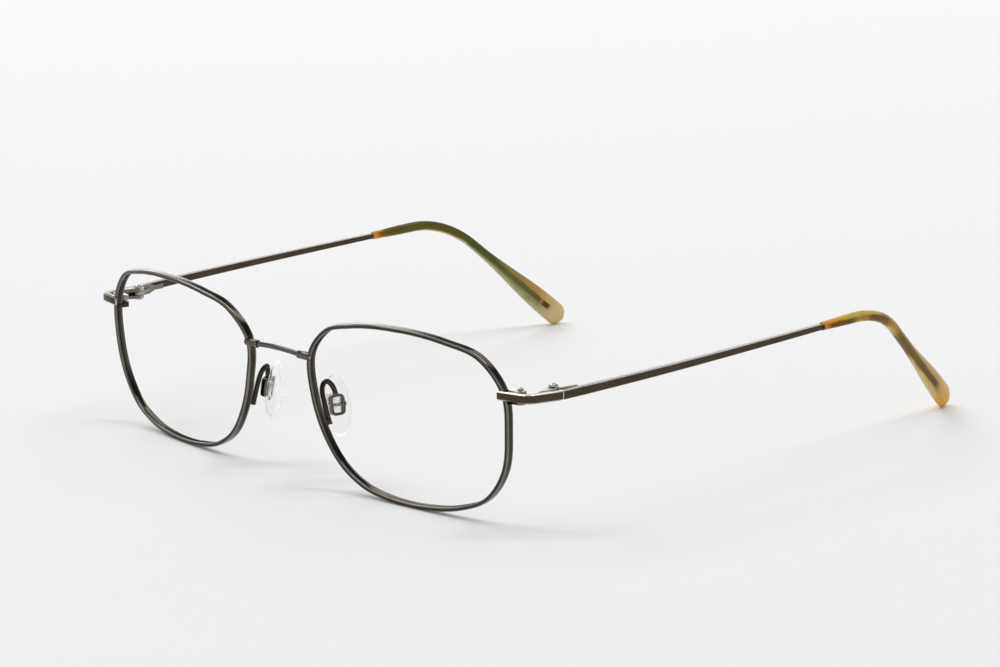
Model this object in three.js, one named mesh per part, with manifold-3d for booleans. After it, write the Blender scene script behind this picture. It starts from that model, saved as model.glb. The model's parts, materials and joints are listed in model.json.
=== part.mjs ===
import * as THREE from 'three';
import { mergeVertices } from 'three/addons/utils/BufferGeometryUtils.js';
import Module from 'manifold-3d';

// A full-rim metal eyeglass frame without lenses, opened, standing on its eyewires and temple tips.
// Millimetres. +Z is up, the front looks towards -Y and the wearer's left is +X.
// A piece that comes in a pair is drawn for the wearer's left and mirrored for the right.

const wasm = await Module();
wasm.setup();

const degree = Math.PI / 180;
const quarterTurn = Math.PI / 2;
const fullTurn = Math.PI * 2;

// Fits
const seatGap = 0.1; // between pieces that are brazed or screwed together
const runningGap = 0.1; // round a piece that turns
const overrun = 1; // how far a cutting tool reaches past what it cuts
const weldDistance = 0.0005; // corners closer than this are one corner

// Eyewires, measured between the mid-lines of the wire
const eyewireWidth = 52.4;
const eyewireHeight = 36.5;
const bridgeGap = 19.4;
const lensCurve = 96; // radius of the lens surface that the eyewire follows
const faceWrap = 5.7 * degree;
const lensTilt = 5.3 * degree;
const wireDepth = 1.8;
const wireWall = 0.9;
const wireRound = 0.24; // across the wire
const wireRoundDepth = 0.38;
const wireLip = 0.18;
const grooveWidth = 1;
const grooveDepth = 0.4;
const closingGap = 0.2; // where the eyewire and its lock are split

// The eyewire's outline, as shares of half its width and half its height, from the temple side up
const outlineShares = [
  [0.99, 0], [0.971, 0.452], [0.771, 0.803], [0.472, 0.931], [0.222, 0.981],
  [0, 0.99], [-0.222, 0.978], [-0.47, 0.928], [-0.77, 0.803], [-0.988, 0.46],
  [-0.967, 0], [-0.864, -0.403], [-0.696, -0.725], [-0.466, -0.919], [-0.224, -0.988],
  [0, -1.009], [0.226, -0.997], [0.478, -0.944], [0.753, -0.785], [0.934, -0.435],
];

// Heights of the joints on the eyewire, above the middle of the lens opening
const lockRise = 7.6;
const bridgeRise = 8.29;
const padFootRise = -6;

// Where along the outline each of those heights is looked for
const lockSearchShares = [0, 0.12];
const bridgeSearchShares = [0.38, 0.5];
const padFootSearchShares = [0.5, 0.66];

// Endpieces
const endpieceHeight = 2.05;
const endpieceThickness = 1.3;
const endpieceEdge = 0.3;
const endpieceLap = 1; // past the eyewire's mid-line, towards the nose
const endpieceFace = 0.7; // in front of the eyewire
const endpieceFrontRun = 7.2;
const endpieceSideRun = 8.05;
const endpieceFrontAngle = 13.5 * degree;
const endpieceSideAngle = 81 * degree;
const endpieceCorner = 2;
const endpieceFrontHeightShare = 0.9;
const endpieceLift = 0.25; // how far the free end stands above the joint's height

// Rim locks
const lockRadius = 1.15;
const lockReach = 2.9; // from the screw to the eyewire
const lockScrewAlong = 3.85; // from the endpiece's free end
const lockUpper = 1.3;
const lockLower = 1.5;
const lockEdge = 0.12;
const lockScrewRadius = 0.42;
const lockScrewHead = 0.64;
const lockScrewHeadHeight = 0.45;

// Hinges
const hingeReach = 1.9; // from the pin's axis out to the inner face of the endpiece
const hingeSetback = 0.45; // from the temple's end face back to the axis
const hingeHeight = 2.3;
const hingeBarrel = 1.25;
const hingeSlot = 0.9;
const hingeSlotDepth = 2.8;
const forkLength = 4.2;
const forkTail = 0.2; // from the endpiece's end face to the fork's rear corner
const forkEdge = 0.1;
const forkRearAngle = -15 * degree;
const forkFrontAngle = 210 * degree;
const eyeRearAngle = 315 * degree;
const barrelBoss = 0.9;
const barrelBossHeight = 0.3;
const hingeScrewRadius = 0.45;
const hingeScrewHead = 0.95;
const hingeScrewHeadHeight = 0.6;
const screwSlotWidth = 0.24;
const screwSlotDepthShare = 0.5;
const screwHeadShares = [[1, 0], [1, 0.33], [0.71, 0.87], [0.33, 1]]; // of its radius and height
const leafThickness = 0.6;
const leafStart = 0.35; // behind the axis
const leafLength = 8.2;
const leafWing = 4.2;
const leafShoulder = 5.9;
const leafEndHeight = 1.1;

// Temples
const jointGap = 0.3;
const templeShaft = 74.7; // from the joint to the tip's mouth
const templeFlare = 5.3 * degree;
const templeRise = 1.5 * degree;
const templeHeight = 1.84;
const templeHeightAtTip = 1.26;
const templeThickness = 1.3;
const templeThicknessAtTip = 1.1;
const coreHeight = 0.95;
const coreThickness = 0.85;
const coreShort = 5.5; // how far the core stops before the tip's end
const coreNotch = 1.5; // from the core's end
const coreNotchLength = 0.35;
const coreNotchShare = 0.6;
const coreStep = 0.01; // from the bar's last section to the core's first
const barCornerShare = 0.3; // how much of the bar's half section its corners take

// Temple tips
const tipLeadLeft = 10.3; // from the tip's mouth to its bend, set for each ear
const tipLeadRight = 13;
const tipBendLeft = 37.6 * degree;
const tipBendRight = 42.1 * degree;
const tipBendRadius = 27;
const tipInward = 15.6 * degree;
const tipMouthHeight = 1.85;
const tipMouthThickness = 1.75;
const tipNeckHeight = 2.38;
const tipNeckThickness = 2.3;
const tipNeckAt = 9; // from the mouth
const tipPaddleHeight = 5.64;
const tipPaddleThickness = 2.7;
const tipPaddleRun = 31.5; // from the paddle's full height back to the neck
const tipEndRound = 2.7;

// Bridge
const bridgeWireRadius = 0.55;
const bridgeArch = 0.33;
const bridgeBow = 0.15; // how far the middle stands in front of the ends
const sleeveRadius = 0.88;
const sleeveLength = 3.2;
const sleeveInset = 0.06; // from the eyewire's mid-line towards the nose
const sleeveBack = 0.3; // behind the eyewire's front face
const sleeveBoreDepth = 1.6;
const sleeveLip = 0.12;

// Nose pad arms
const armRadius = 0.54;
const armInward = 2.8;
const armSetback = 2.9;
const armHeight = 8.3;
const armFootLap = 0.19; // from the eyewire's mid-line towards the nose
const armFootGap = 0.38; // from the eyewire's back to the wire, filled by the brazing bead
const armLean = 20 * degree; // of the wire at its foot
const beadRadius = 0.7;
const beadLength = 1.7;
const beadSetback = 0.35; // from the wire's middle towards the eyewire
const beadShares = [[0, 0], [0.6, 0], [1, 0.25], [1, 0.6], [0.65, 1], [0, 1]]; // of its radius and length

// The arm's route from its foot, as shares of armInward, armSetback and armHeight
const armShares = [
  [0, 0, 0], [0.34, -0.05, 0.3], [0.59, -0.04, 0.547], [0.79, -0.02, 0.724], [0.93, 0.1, 0.882],
  [0.99, 0.32, 0.976], [0.95, 0.57, 1], [0.8, 0.77, 0.935], [0.64, 0.9, 0.829], [0.5, 1, 0.645],
];

// Nose pad boxes
const boxWidth = 3.25;
const boxHeight = 4.45;
const boxDepth = 1.2;
const boxWall = 0.62;
const boxRound = 1.2;
const boxArmSink = 0.3; // how far the arm would run into the box's top if the box didn't cut it
const padFrontal = 18 * degree;
const padSplay = 9 * degree;

// Nose pads, inserts and screws
const padWidth = 6.3;
const padHeight = 12.6;
const padThickness = 1.7;
const padTaperShare = 0.1;
const padBack = 0.52; // from the box to the pad's back
const padShiftBack = 0.5;
const padShiftDown = 0.42;
const insertWidth = 2.6;
const insertHeight = 4.6;
const insertThickness = 0.6;
const lugWidth = 1.3;
const lugHeight = 2.2;
const lugReach = 1.5;
const plateRoundShare = 0.25;
const padScrewRadius = 0.32;
const padScrewHead = 0.6;
const padScrewHeadHeight = 0.35;

// The pad's section from the middle of its back round to the middle of its face, as shares of half
// its size and of its thickness
const padProfileShares = [
  [0, 0], [0.82, 0], [0.95, 0.08], [1, 0.32], [0.95, 0.6], [0.8, 0.82], [0.45, 0.96], [0, 1],
];

// Facets
const eyewireSteps = 90;
const saddleSteps = 8;
const templeSteps = 16;
const coreSteps = 20;
const tipSteps = 26;
const tipEndSteps = 6;
const tipEndShare = 0.94; // of the quarter turn that the last section of the round end stands at
const armSteps = 20;
const bridgeSteps = 12;
const wireSides = 8;
const barrelSides = 24;
const bossSides = 16;
const sleeveSides = 16;
const domeSteps = 4;
const padSides = 24;
const screwSides = 12;
const tipSides = 12;
const cornerSegments = 8;
const barrelSegments = 10;
const ringSegments = 3;
const halvings = 40; // of the outline when a height is looked for
const walkSteps = 100;
const lengthDivisions = 1000;

const metal = { roughness: 0.35, metalness: 0.9 };
const finishes = {
  gunmetal: { color: 0x3d3833, ...metal },
  satin: { color: 0x4a433c, roughness: 0.5, metalness: 0.85 },
  steel: { color: 0x8d8a86, ...metal },
  acetate: { color: 0x8d7a34, roughness: 0.3, metalness: 0, transparent: true, opacity: 0.85 },
  clear: { color: 0xeef0f0, roughness: 0.15, metalness: 0, transparent: true, opacity: 0.5 },
};

const frame = new THREE.Group();

// Solids

function merged(geometry) {
  const bare = geometry.index ? geometry.toNonIndexed() : geometry.clone();
  bare.deleteAttribute('normal');
  bare.deleteAttribute('uv');
  return mergeVertices(bare, weldDistance);
}

function flipped(geometry) {
  const index = geometry.index.array;
  for (let i = 0; i < index.length; i += 3) {
    [index[i + 1], index[i + 2]] = [index[i + 2], index[i + 1]];
  }
  return geometry;
}

function signedVolume(geometry) {
  const { index, attributes } = geometry;
  const corners = [new THREE.Vector3(), new THREE.Vector3(), new THREE.Vector3()];
  let volume = 0;
  for (let i = 0; i < index.count; i += 3) {
    corners.forEach((corner, k) => corner.fromBufferAttribute(attributes.position, index.getX(i + k)));
    volume += corners[0].dot(corners[1].cross(corners[2]));
  }
  return volume;
}

// Merges a geometry's corners and turns its faces outwards.
function closed(geometry) {
  const body = merged(geometry);
  return signedVolume(body) < 0 ? flipped(body) : body;
}

function toSolid(geometry) {
  const body = closed(geometry);
  return new wasm.Manifold(new wasm.Mesh({
    numProp: 3,
    vertProperties: new Float32Array(body.attributes.position.array),
    triVerts: new Uint32Array(body.index.array),
  }));
}

function fromSolid(solid) {
  const mesh = solid.getMesh();
  const geometry = new THREE.BufferGeometry();
  geometry.setAttribute('position', new THREE.BufferAttribute(mesh.vertProperties, 3));
  geometry.setIndex(new THREE.BufferAttribute(mesh.triVerts, 1));
  return geometry;
}

function carve(geometry, ...tools) {
  return fromSolid(tools.reduce((solid, tool) => solid.subtract(toSolid(tool)), toSolid(geometry)));
}

function join(geometry, ...others) {
  return fromSolid(others.reduce((solid, other) => solid.add(toSolid(other)), toSolid(geometry)));
}

function mirrored(geometry) {
  return flipped(geometry.clone().applyMatrix4(new THREE.Matrix4().makeScale(-1, 1, 1)));
}

// Places and frames

function place(position, tilt = 0, splay = 0, turn = 0) {
  const rotation = new THREE.Euler(tilt, splay, turn);
  const quaternion = new THREE.Quaternion().setFromEuler(rotation);
  const matrix = new THREE.Matrix4().compose(position, quaternion, new THREE.Vector3(1, 1, 1));
  return { position, rotation, matrix };
}

function moved(geometry, from, to) {
  const matrix = to.matrix.clone().invert().multiply(from.matrix);
  return geometry.clone().applyMatrix4(matrix);
}

function basis(origin, x, y, z) {
  return new THREE.Matrix4().makeBasis(x, y, z).setPosition(origin);
}

// Adds a piece that is drawn for the wearer's left, mirrored where it is for the right.
function addSide(name, side, geometry, finish, at) {
  const sign = side === 'left' ? 1 : -1;
  const drawn = closed(geometry);
  const body = sign > 0 ? drawn : mirrored(drawn);
  body.computeVertexNormals();
  const mesh = new THREE.Mesh(body, new THREE.MeshStandardMaterial(finish));
  mesh.name = `${name}_${side}`;
  mesh.position.set(sign * at.position.x, at.position.y, at.position.z);
  mesh.rotation.set(at.rotation.x, sign * at.rotation.y, sign * at.rotation.z);
  frame.add(mesh);
}

function addPair(name, geometry, finish, at) {
  for (const side of ['left', 'right']) addSide(name, side, geometry, finish, at);
}

// Shapes

function polygon(points) {
  return new THREE.Shape(points.map(([x, y]) => new THREE.Vector2(x, y)));
}

function regular(radius, sides) {
  const corners = Array.from({ length: sides }, (_, i) => (i + 1 / 2) * fullTurn / sides);
  return polygon(corners.map((angle) => [radius * Math.cos(angle), radius * Math.sin(angle)]));
}

function roundedRectangle(width, height, radius) {
  const x = width / 2 - radius;
  const y = height / 2 - radius;
  const shape = new THREE.Shape();
  shape.absarc(x, y, radius, 0, quarterTurn, false);
  shape.absarc(-x, y, radius, quarterTurn, 2 * quarterTurn, false);
  shape.absarc(-x, -y, radius, 2 * quarterTurn, 3 * quarterTurn, false);
  shape.absarc(x, -y, radius, 3 * quarterTurn, fullTurn, false);
  return shape;
}

// Extrudes a plan outline upwards from z = bottom to z = top, its edges eased inside the outline.
function slab(shape, bottom, top, edge = 0, curveSegments = cornerSegments) {
  const options = { depth: top - bottom - 2 * edge, curveSegments, bevelEnabled: edge > 0 };
  const eased = { bevelThickness: edge, bevelSize: edge, bevelOffset: -edge, bevelSegments: 1 };
  return new THREE.ExtrudeGeometry(shape, { ...options, ...eased }).translate(0, 0, bottom + edge);
}

// Extrudes an outline drawn in y and z along x.
function crosswise(shape, start, end, edge = 0, curveSegments = ringSegments) {
  const turn = new THREE.Matrix4().makeBasis(
    new THREE.Vector3(0, 1, 0),
    new THREE.Vector3(0, 0, 1),
    new THREE.Vector3(1, 0, 0),
  );
  return slab(shape, start, end, edge, curveSegments).applyMatrix4(turn);
}

// Revolves a profile of [radius, height] about the z axis.
function turned(profile, sides) {
  const points = profile.map(([radius, height]) => new THREE.Vector2(radius, height));
  return new THREE.LatheGeometry(points, sides).rotateX(quarterTurn);
}

function drill(radius, bottom, top, sides = screwSides) {
  return turned([[0, bottom], [radius, bottom], [radius, top], [0, top]], sides);
}

function block(x0, x1, y0, y1, z0, z1) {
  const box = new THREE.BoxGeometry(x1 - x0, y1 - y0, z1 - z0);
  return box.translate((x0 + x1) / 2, (y0 + y1) / 2, (z0 + z1) / 2);
}

// Carries a unit-long extrusion of a section along a path: frameAt gives the matrix at each stop.
function sweep(section, stops, frameAt) {
  const steps = stops.length - 1;
  const geometry = new THREE.ExtrudeGeometry(section, { depth: 1, steps, bevelEnabled: false });
  const { position } = geometry.attributes;
  const frames = stops.map(frameAt);
  const point = new THREE.Vector3();
  for (let i = 0; i < position.count; i += 1) {
    point.fromBufferAttribute(position, i);
    const matrix = frames[Math.round(point.z * steps)];
    point.setZ(0).applyMatrix4(matrix);
    position.setXYZ(i, point.x, point.y, point.z);
  }
  return geometry;
}

function evenStops(steps, start = 0, end = 1) {
  return Array.from({ length: steps + 1 }, (_, i) => start + ((end - start) * i) / steps);
}

// Sweeps a round wire along a curve, its section turned as little as the curve allows.
function wire(curve, radius, steps) {
  const shape = regular(radius, wireSides);
  return new THREE.ExtrudeGeometry(shape, { steps, bevelEnabled: false, extrudePath: curve });
}

// A slotted round-head screw along z, its head on top with its seat at z = 0.
function screw(shankRadius, shankLength, headRadius, headHeight) {
  const profile = [
    [0, -shankLength],
    [shankRadius, -shankLength],
    [shankRadius, 0],
    ...screwHeadShares.map(([across, up]) => [across * headRadius, up * headHeight]),
    [0, headHeight],
  ];
  const slotBottom = headHeight * (1 - screwSlotDepthShare);
  const side = headRadius + overrun;
  const half = screwSlotWidth / 2;
  const slot = block(-side, side, -half, half, slotBottom, headHeight + overrun);
  return carve(turned(profile, screwSides), slot);
}

// The eyewire in its own plane: x towards the temple, y back, z up

function lensPoint([across, up]) {
  const x = across * eyewireWidth / 2;
  const z = up * eyewireHeight / 2;
  return new THREE.Vector3(x, (x * x + z * z) / (2 * lensCurve), z);
}

const midLine = new THREE.CatmullRomCurve3(outlineShares.map(lensPoint), true, 'centripetal');
midLine.arcLengthDivisions = lengthDivisions;
const backwards = new THREE.Vector3(0, 1, 0);

// The share of the mid-line's length between two shares where it passes a height.
function shareAtHeight(height, start, end) {
  let [low, high] = [start, end];
  const rising = midLine.getPointAt(end).z > midLine.getPointAt(start).z;
  for (let i = 0; i < halvings; i += 1) {
    const middle = (low + high) / 2;
    if (midLine.getPointAt(middle).z < height === rising) low = middle;
    else high = middle;
  }
  return (low + high) / 2;
}

const closingShare = shareAtHeight(lockRise, ...lockSearchShares);
const bridgeShare = shareAtHeight(bridgeRise, ...bridgeSearchShares);
const padFootShare = shareAtHeight(padFootRise, ...padFootSearchShares);

function eyewireFrame(share) {
  const around = ((share % 1) + 1) % 1;
  const along = midLine.getTangentAt(around).setY(0).normalize();
  const outward = new THREE.Vector3().crossVectors(backwards, along);
  return basis(midLine.getPointAt(around), outward, backwards, along);
}

function eyewireSection() {
  const side = wireWall / 2;
  const middle = wireDepth / 2;
  const halfGroove = grooveWidth / 2;
  return polygon([
    [-side + wireLip, 0],
    [side - wireRound, 0],
    [side, wireRoundDepth],
    [side, wireDepth - wireRoundDepth],
    [side - wireRound, wireDepth],
    [-side + wireLip, wireDepth],
    [-side, wireDepth - wireLip],
    [-side, middle + halfGroove],
    [-side + grooveDepth, middle],
    [-side, middle - halfGroove],
    [-side, wireLip],
  ]);
}

function eyewire() {
  const gapShare = closingGap / midLine.getLength() / 2;
  const stops = evenStops(eyewireSteps, closingShare + gapShare, closingShare + 1 - gapShare);
  return sweep(eyewireSection(), stops, eyewireFrame);
}

// What a piece brazed to the eyewire near a share of it has to leave free: the wire itself, and as
// much of the lens opening beside it as the last number says.
function saddle(share, reach, opening = 0) {
  const side = wireWall / 2 + seatGap;
  const section = polygon([
    [-side - opening, -seatGap],
    [side, -seatGap],
    [side, wireDepth + seatGap],
    [-side - opening, wireDepth + seatGap],
  ]);
  const span = reach / midLine.getLength();
  return sweep(section, evenStops(saddleSteps, share - span, share + span), eyewireFrame);
}

// The lens opening's plane is set so that the eyewire's lowest point is on the table.
const eyewireBody = eyewire();
const lensTurn = place(new THREE.Vector3(), lensTilt, 0, faceWrap);
const lowest = new THREE.Box3().setFromBufferAttribute(
  eyewireBody.clone().applyMatrix4(lensTurn.matrix).attributes.position,
).min.z;
const lensCentre = new THREE.Vector3((eyewireWidth + bridgeGap) / 2, 0, -lowest);
const lensPlace = place(lensCentre, lensTilt, 0, faceWrap);

function eyewirePoint(share) {
  return midLine.getPointAt(share).applyMatrix4(lensPlace.matrix);
}

const bench = place(new THREE.Vector3());

addPair('eyewire', eyewireBody, finishes.gunmetal, lensPlace);

// Endpiece, drawn in plan

const closing = eyewirePoint(closingShare);
const jointHeight = closing.z;

function heading(angle) {
  return new THREE.Vector2(Math.cos(angle), Math.sin(angle));
}

function leftOf(angle) {
  return new THREE.Vector2(-Math.sin(angle), Math.cos(angle));
}

function ahead(point, direction, distance) {
  return point.clone().addScaledVector(direction, distance);
}

const endpieceStart = new THREE.Vector2(closing.x - endpieceLap, closing.y - endpieceFace);
const endpieceBend = ahead(endpieceStart, heading(endpieceFrontAngle), endpieceFrontRun);
const endpieceEnd = ahead(endpieceBend, heading(endpieceSideAngle), endpieceSideRun);
const endpieceInside = endpieceEnd.x - endpieceThickness / Math.sin(endpieceSideAngle);

function endpiecePlan() {
  const turn = (endpieceSideAngle - endpieceFrontAngle) / 2;
  const middle = (endpieceSideAngle + endpieceFrontAngle) / 2;
  const centre = ahead(endpieceBend, leftOf(middle), endpieceCorner / Math.cos(turn));
  const from = endpieceFrontAngle - quarterTurn;
  const to = endpieceSideAngle - quarterTurn;
  const innerY = endpieceStart.y + endpieceThickness / Math.cos(endpieceFrontAngle);
  const shape = new THREE.Shape();
  shape.moveTo(endpieceStart.x, innerY);
  shape.lineTo(endpieceStart.x, endpieceStart.y);
  shape.absarc(centre.x, centre.y, endpieceCorner, from, to, false);
  shape.lineTo(endpieceEnd.x, endpieceEnd.y);
  shape.lineTo(endpieceInside, endpieceEnd.y);
  shape.absarc(centre.x, centre.y, endpieceCorner - endpieceThickness, to, from, true);
  return shape;
}

// The bar is a little lower at its free end than at the joint, and rises towards it.
function endpiece() {
  const half = endpieceHeight / 2;
  const bar = slab(endpiecePlan(), -half, half, endpieceEdge);
  const { position } = bar.attributes;
  const run = endpieceEnd.y - endpieceStart.y;
  for (let i = 0; i < position.count; i += 1) {
    const share = (position.getY(i) - endpieceStart.y) / run;
    const scale = THREE.MathUtils.lerp(endpieceFrontHeightShare, 1, share);
    position.setZ(i, position.getZ(i) * scale + endpieceLift * (1 - share));
  }
  bar.translate(0, 0, jointHeight);
  return carve(bar, moved(saddle(closingShare, endpieceHeight + overrun, endpieceLap), lensPlace, bench));
}

addPair('endpiece', endpiece(), finishes.satin, bench);

// Rim lock: two halves behind the endpiece, split where the eyewire is, and their screw

const frontHeading = heading(endpieceFrontAngle);
const frontInward = leftOf(endpieceFrontAngle);
const lockAxis = ahead(
  ahead(endpieceStart, frontHeading, lockScrewAlong),
  frontInward,
  endpieceThickness + seatGap + lockRadius,
);
const lockCentre = new THREE.Vector3(lockAxis.x, lockAxis.y, jointHeight);
const lockPlace = place(lockCentre, 0, 0, endpieceFrontAngle);

function lockPlan() {
  const shape = new THREE.Shape();
  shape.moveTo(-lockReach, lockRadius);
  shape.lineTo(-lockReach, -lockRadius);
  shape.absarc(0, 0, lockRadius, -quarterTurn, quarterTurn, false);
  return shape;
}

function lockHalf(bottom, top) {
  const half = slab(lockPlan(), bottom, top, lockEdge);
  const reach = lockUpper + lockLower + overrun;
  const free = moved(saddle(closingShare, reach), lensPlace, lockPlace);
  const bore = drill(lockScrewRadius + runningGap, bottom - overrun, top + overrun);
  return carve(half, free, bore);
}

const lockSplit = closingGap / 2;
addPair('rim_lock_upper', lockHalf(lockSplit, lockUpper), finishes.steel, lockPlace);
addPair('rim_lock_lower', lockHalf(-lockLower, -lockSplit), finishes.gunmetal, lockPlace);

const lockScrewSeat = lockUpper + seatGap / 2;
const lockScrew = screw(
  lockScrewRadius,
  lockScrewSeat + lockLower - lockEdge,
  lockScrewHead,
  lockScrewHeadHeight,
);
addPair('rim_lock_screw', lockScrew.translate(0, 0, lockScrewSeat), finishes.steel, lockPlace);

// Hinge, about an upright axis on the inner side of the joint

const templeEndFace = endpieceEnd.y + jointGap;
const hingeCentre = new THREE.Vector3(
  endpieceInside - hingeReach,
  templeEndFace + hingeSetback,
  jointHeight,
);
const hingePlace = place(hingeCentre);
const endpieceEndFace = endpieceEnd.y - hingeCentre.y; // the endpiece's end face from the axis

// The fork lies along the slanted inner face of the endpiece.
function forkPlan() {
  const lean = 1 / Math.tan(endpieceSideAngle);
  const rear = endpieceEndFace - forkTail;
  const front = rear - forkLength;
  const faceAt = (y) => hingeReach - seatGap + (y - endpieceEndFace) * lean;
  const shape = new THREE.Shape();
  shape.moveTo(faceAt(front), front);
  shape.lineTo(faceAt(rear), rear);
  shape.absarc(0, 0, hingeBarrel, forkRearAngle, forkFrontAngle, false);
  return shape;
}

function hingeFork() {
  const half = hingeHeight / 2;
  const plates = slab(forkPlan(), -half, half, forkEdge, barrelSegments);
  const boss = drill(barrelBoss, -half - barrelBossHeight, -half + forkEdge, bossSides);
  const slotHalf = hingeSlot / 2;
  const side = hingeBarrel + hingeReach + overrun;
  const slot = block(-side, side, -hingeSlotDepth, side, -slotHalf, slotHalf);
  const bottom = -half - barrelBossHeight - overrun;
  const bore = drill(hingeScrewRadius + runningGap, bottom, half + overrun);
  return carve(join(plates, boss), slot, bore);
}

addPair('hinge_fork', hingeFork(), finishes.satin, hingePlace);

// The temple's half: an eye in the fork's slot, a neck, and a leaf along the temple's inner face.
function hingeEye() {
  const eyeHalf = hingeSlot / 2 - runningGap;
  const half = hingeHeight / 2;
  const endHalf = leafEndHeight / 2;
  const inner = hingeReach - seatGap - leafThickness;
  const outer = hingeReach - seatGap;
  const leafEnd = leafStart + leafLength;
  const side = polygon([
    [leafStart, -half], [leafWing, -half], [leafShoulder, -endHalf], [leafEnd, -endHalf],
    [leafEnd, endHalf], [leafShoulder, endHalf], [leafWing, half], [leafStart, half],
  ]);
  const swept = drill(hingeBarrel + runningGap, -half - overrun, half + overrun, barrelSides);
  const leaf = carve(crosswise(side, inner, outer), swept);
  const neck = new THREE.Shape();
  neck.moveTo(outer, leafStart);
  neck.lineTo(outer, leafWing);
  neck.lineTo(inner, leafWing);
  neck.absarc(0, 0, hingeBarrel, quarterTurn, eyeRearAngle, false);
  const eye = slab(neck, -eyeHalf, eyeHalf, 0, barrelSegments);
  const bore = drill(hingeScrewRadius + runningGap, -half - overrun, half + overrun);
  const lean = new THREE.Matrix4().makeTranslation(outer, 0, 0)
    .multiply(new THREE.Matrix4().makeRotationZ(-templeFlare))
    .multiply(new THREE.Matrix4().makeTranslation(-outer, 0, 0));
  return carve(join(leaf.applyMatrix4(lean), eye), bore);
}

addPair('hinge_eye', hingeEye(), finishes.satin, hingePlace);

const hingeScrewSeat = hingeHeight / 2 + seatGap / 2;
const hingeScrew = screw(
  hingeScrewRadius,
  hingeScrewSeat + hingeHeight / 2 + barrelBossHeight,
  hingeScrewHead,
  hingeScrewHeadHeight,
);
addPair('hinge_screw', hingeScrew.translate(0, 0, hingeScrewSeat), finishes.steel, hingePlace);

// Temple: the line of its middle, from the joint to the end of the tip, in the hinge's frame

const templeStart = new THREE.Vector3(
  endpieceEnd.x - hingeCentre.x - templeThickness / 2,
  -hingeSetback,
  0,
);

// The heading at a distance along a temple whose tip bends down by an angle from a distance on.
function templeHeading(distance, bendStart, bend) {
  const shaftShare = Math.min(1, distance / templeShaft);
  const turnedBy = (distance - bendStart) / tipBendRadius;
  const bendShare = Math.min(1, Math.max(0, turnedBy / bend));
  const yaw = tipInward * bendShare - templeFlare * (1 - shaftShare) ** 2;
  const pitch = templeRise - bend * bendShare;
  return new THREE.Vector3(
    -Math.sin(yaw) * Math.cos(pitch),
    Math.cos(yaw) * Math.cos(pitch),
    Math.sin(pitch),
  );
}

function templeWalk(length, bendStart, bend) {
  const points = [templeStart.clone()];
  for (let i = 0; i < walkSteps; i += 1) {
    const direction = templeHeading(((i + 1 / 2) * length) / walkSteps, bendStart, bend);
    points.push(points[i].clone().addScaledVector(direction, length / walkSteps));
  }
  return points;
}

// The tip's straight end is long enough for its round end to touch the table.
function templeRoute(tipLead, bend) {
  const bendStart = templeShaft + tipLead;
  const bendEnd = bendStart + tipBendRadius * bend;
  const bendEndHeight = templeWalk(bendEnd, bendStart, bend).at(-1).z + jointHeight;
  const fall = bend - templeRise;
  const endDrop = Math.hypot(
    tipEndRound * Math.sin(fall),
    (tipPaddleHeight / 2) * Math.cos(fall),
  );
  const straightEnd = bendEnd + (bendEndHeight - endDrop) / Math.sin(fall);
  const length = straightEnd + tipEndRound;
  const line = new THREE.CatmullRomCurve3(templeWalk(length, bendStart, bend));
  line.arcLengthDivisions = lengthDivisions;
  return { line, length, straightEnd, coreEnd: length - coreShort };
}

// The section's x runs up across the bar and its y outwards, scaled to half its height and thickness.
function templeFrame(route, distance, [height, thickness]) {
  const share = Math.min(1, distance / route.length);
  const along = route.line.getTangentAt(share);
  const outward = new THREE.Vector3().crossVectors(along, new THREE.Vector3(0, 0, 1)).normalize();
  const up = new THREE.Vector3().crossVectors(outward, along);
  const origin = route.line.getPointAt(share);
  return basis(origin, up.multiplyScalar(height / 2), outward.multiplyScalar(thickness / 2), along);
}

// The first section is kept upright and square to y, so that the end face meets the endpiece.
function squared(matrix, distance) {
  if (distance > 0) return matrix;
  const up = new THREE.Vector3(0, 0, templeHeight / 2);
  const outward = new THREE.Vector3(templeThickness / 2, 0, 0);
  return basis(templeStart, up, outward, backwards);
}

const cornerStart = 1 - barCornerShare;
const unitBar = polygon([
  [1, -cornerStart], [1, cornerStart], [cornerStart, 1], [-cornerStart, 1],
  [-1, cornerStart], [-1, -cornerStart], [-cornerStart, -1], [cornerStart, -1],
]);

const coreStart = templeShaft - seatGap;

function templeSize(distance, notchMiddle) {
  if (distance <= coreStart) {
    const share = distance / coreStart;
    return [
      THREE.MathUtils.lerp(templeHeight, templeHeightAtTip, share),
      THREE.MathUtils.lerp(templeThickness, templeThicknessAtTip, share),
    ];
  }
  const notched = Math.abs(distance - notchMiddle) <= coreNotchLength / 2;
  const scale = notched ? coreNotchShare : 1;
  return [coreHeight * scale, coreThickness * scale];
}

function temple(route) {
  const notchMiddle = route.coreEnd - coreNotch;
  const stops = [
    ...evenStops(templeSteps, 0, coreStart),
    ...evenStops(coreSteps, coreStart + coreStep, notchMiddle - coreNotchLength),
    notchMiddle - coreNotchLength / 2,
    notchMiddle + coreNotchLength / 2,
    notchMiddle + coreNotchLength,
    route.coreEnd,
  ];
  return sweep(unitBar, stops, (distance) => (
    squared(templeFrame(route, distance, templeSize(distance, notchMiddle)), distance)
  ));
}

// Temple tip: oval section, drawn in at the mouth, widening to a paddle with a round end

function tipSize(distance, straightEnd) {
  const neckShare = Math.min(1, (distance - templeShaft) / tipNeckAt);
  const paddleShare = THREE.MathUtils.smootherstep(
    distance,
    straightEnd - tipPaddleRun,
    straightEnd,
  );
  const past = Math.max(0, distance - straightEnd) / tipEndRound;
  const round = Math.sqrt(Math.max(0, 1 - past * past));
  const neckHeight = THREE.MathUtils.lerp(tipMouthHeight, tipNeckHeight, neckShare);
  const neckThickness = THREE.MathUtils.lerp(tipMouthThickness, tipNeckThickness, neckShare);
  return [
    THREE.MathUtils.lerp(neckHeight, tipPaddleHeight, paddleShare) * round,
    THREE.MathUtils.lerp(neckThickness, tipPaddleThickness, paddleShare) * Math.sqrt(round),
  ];
}

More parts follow.
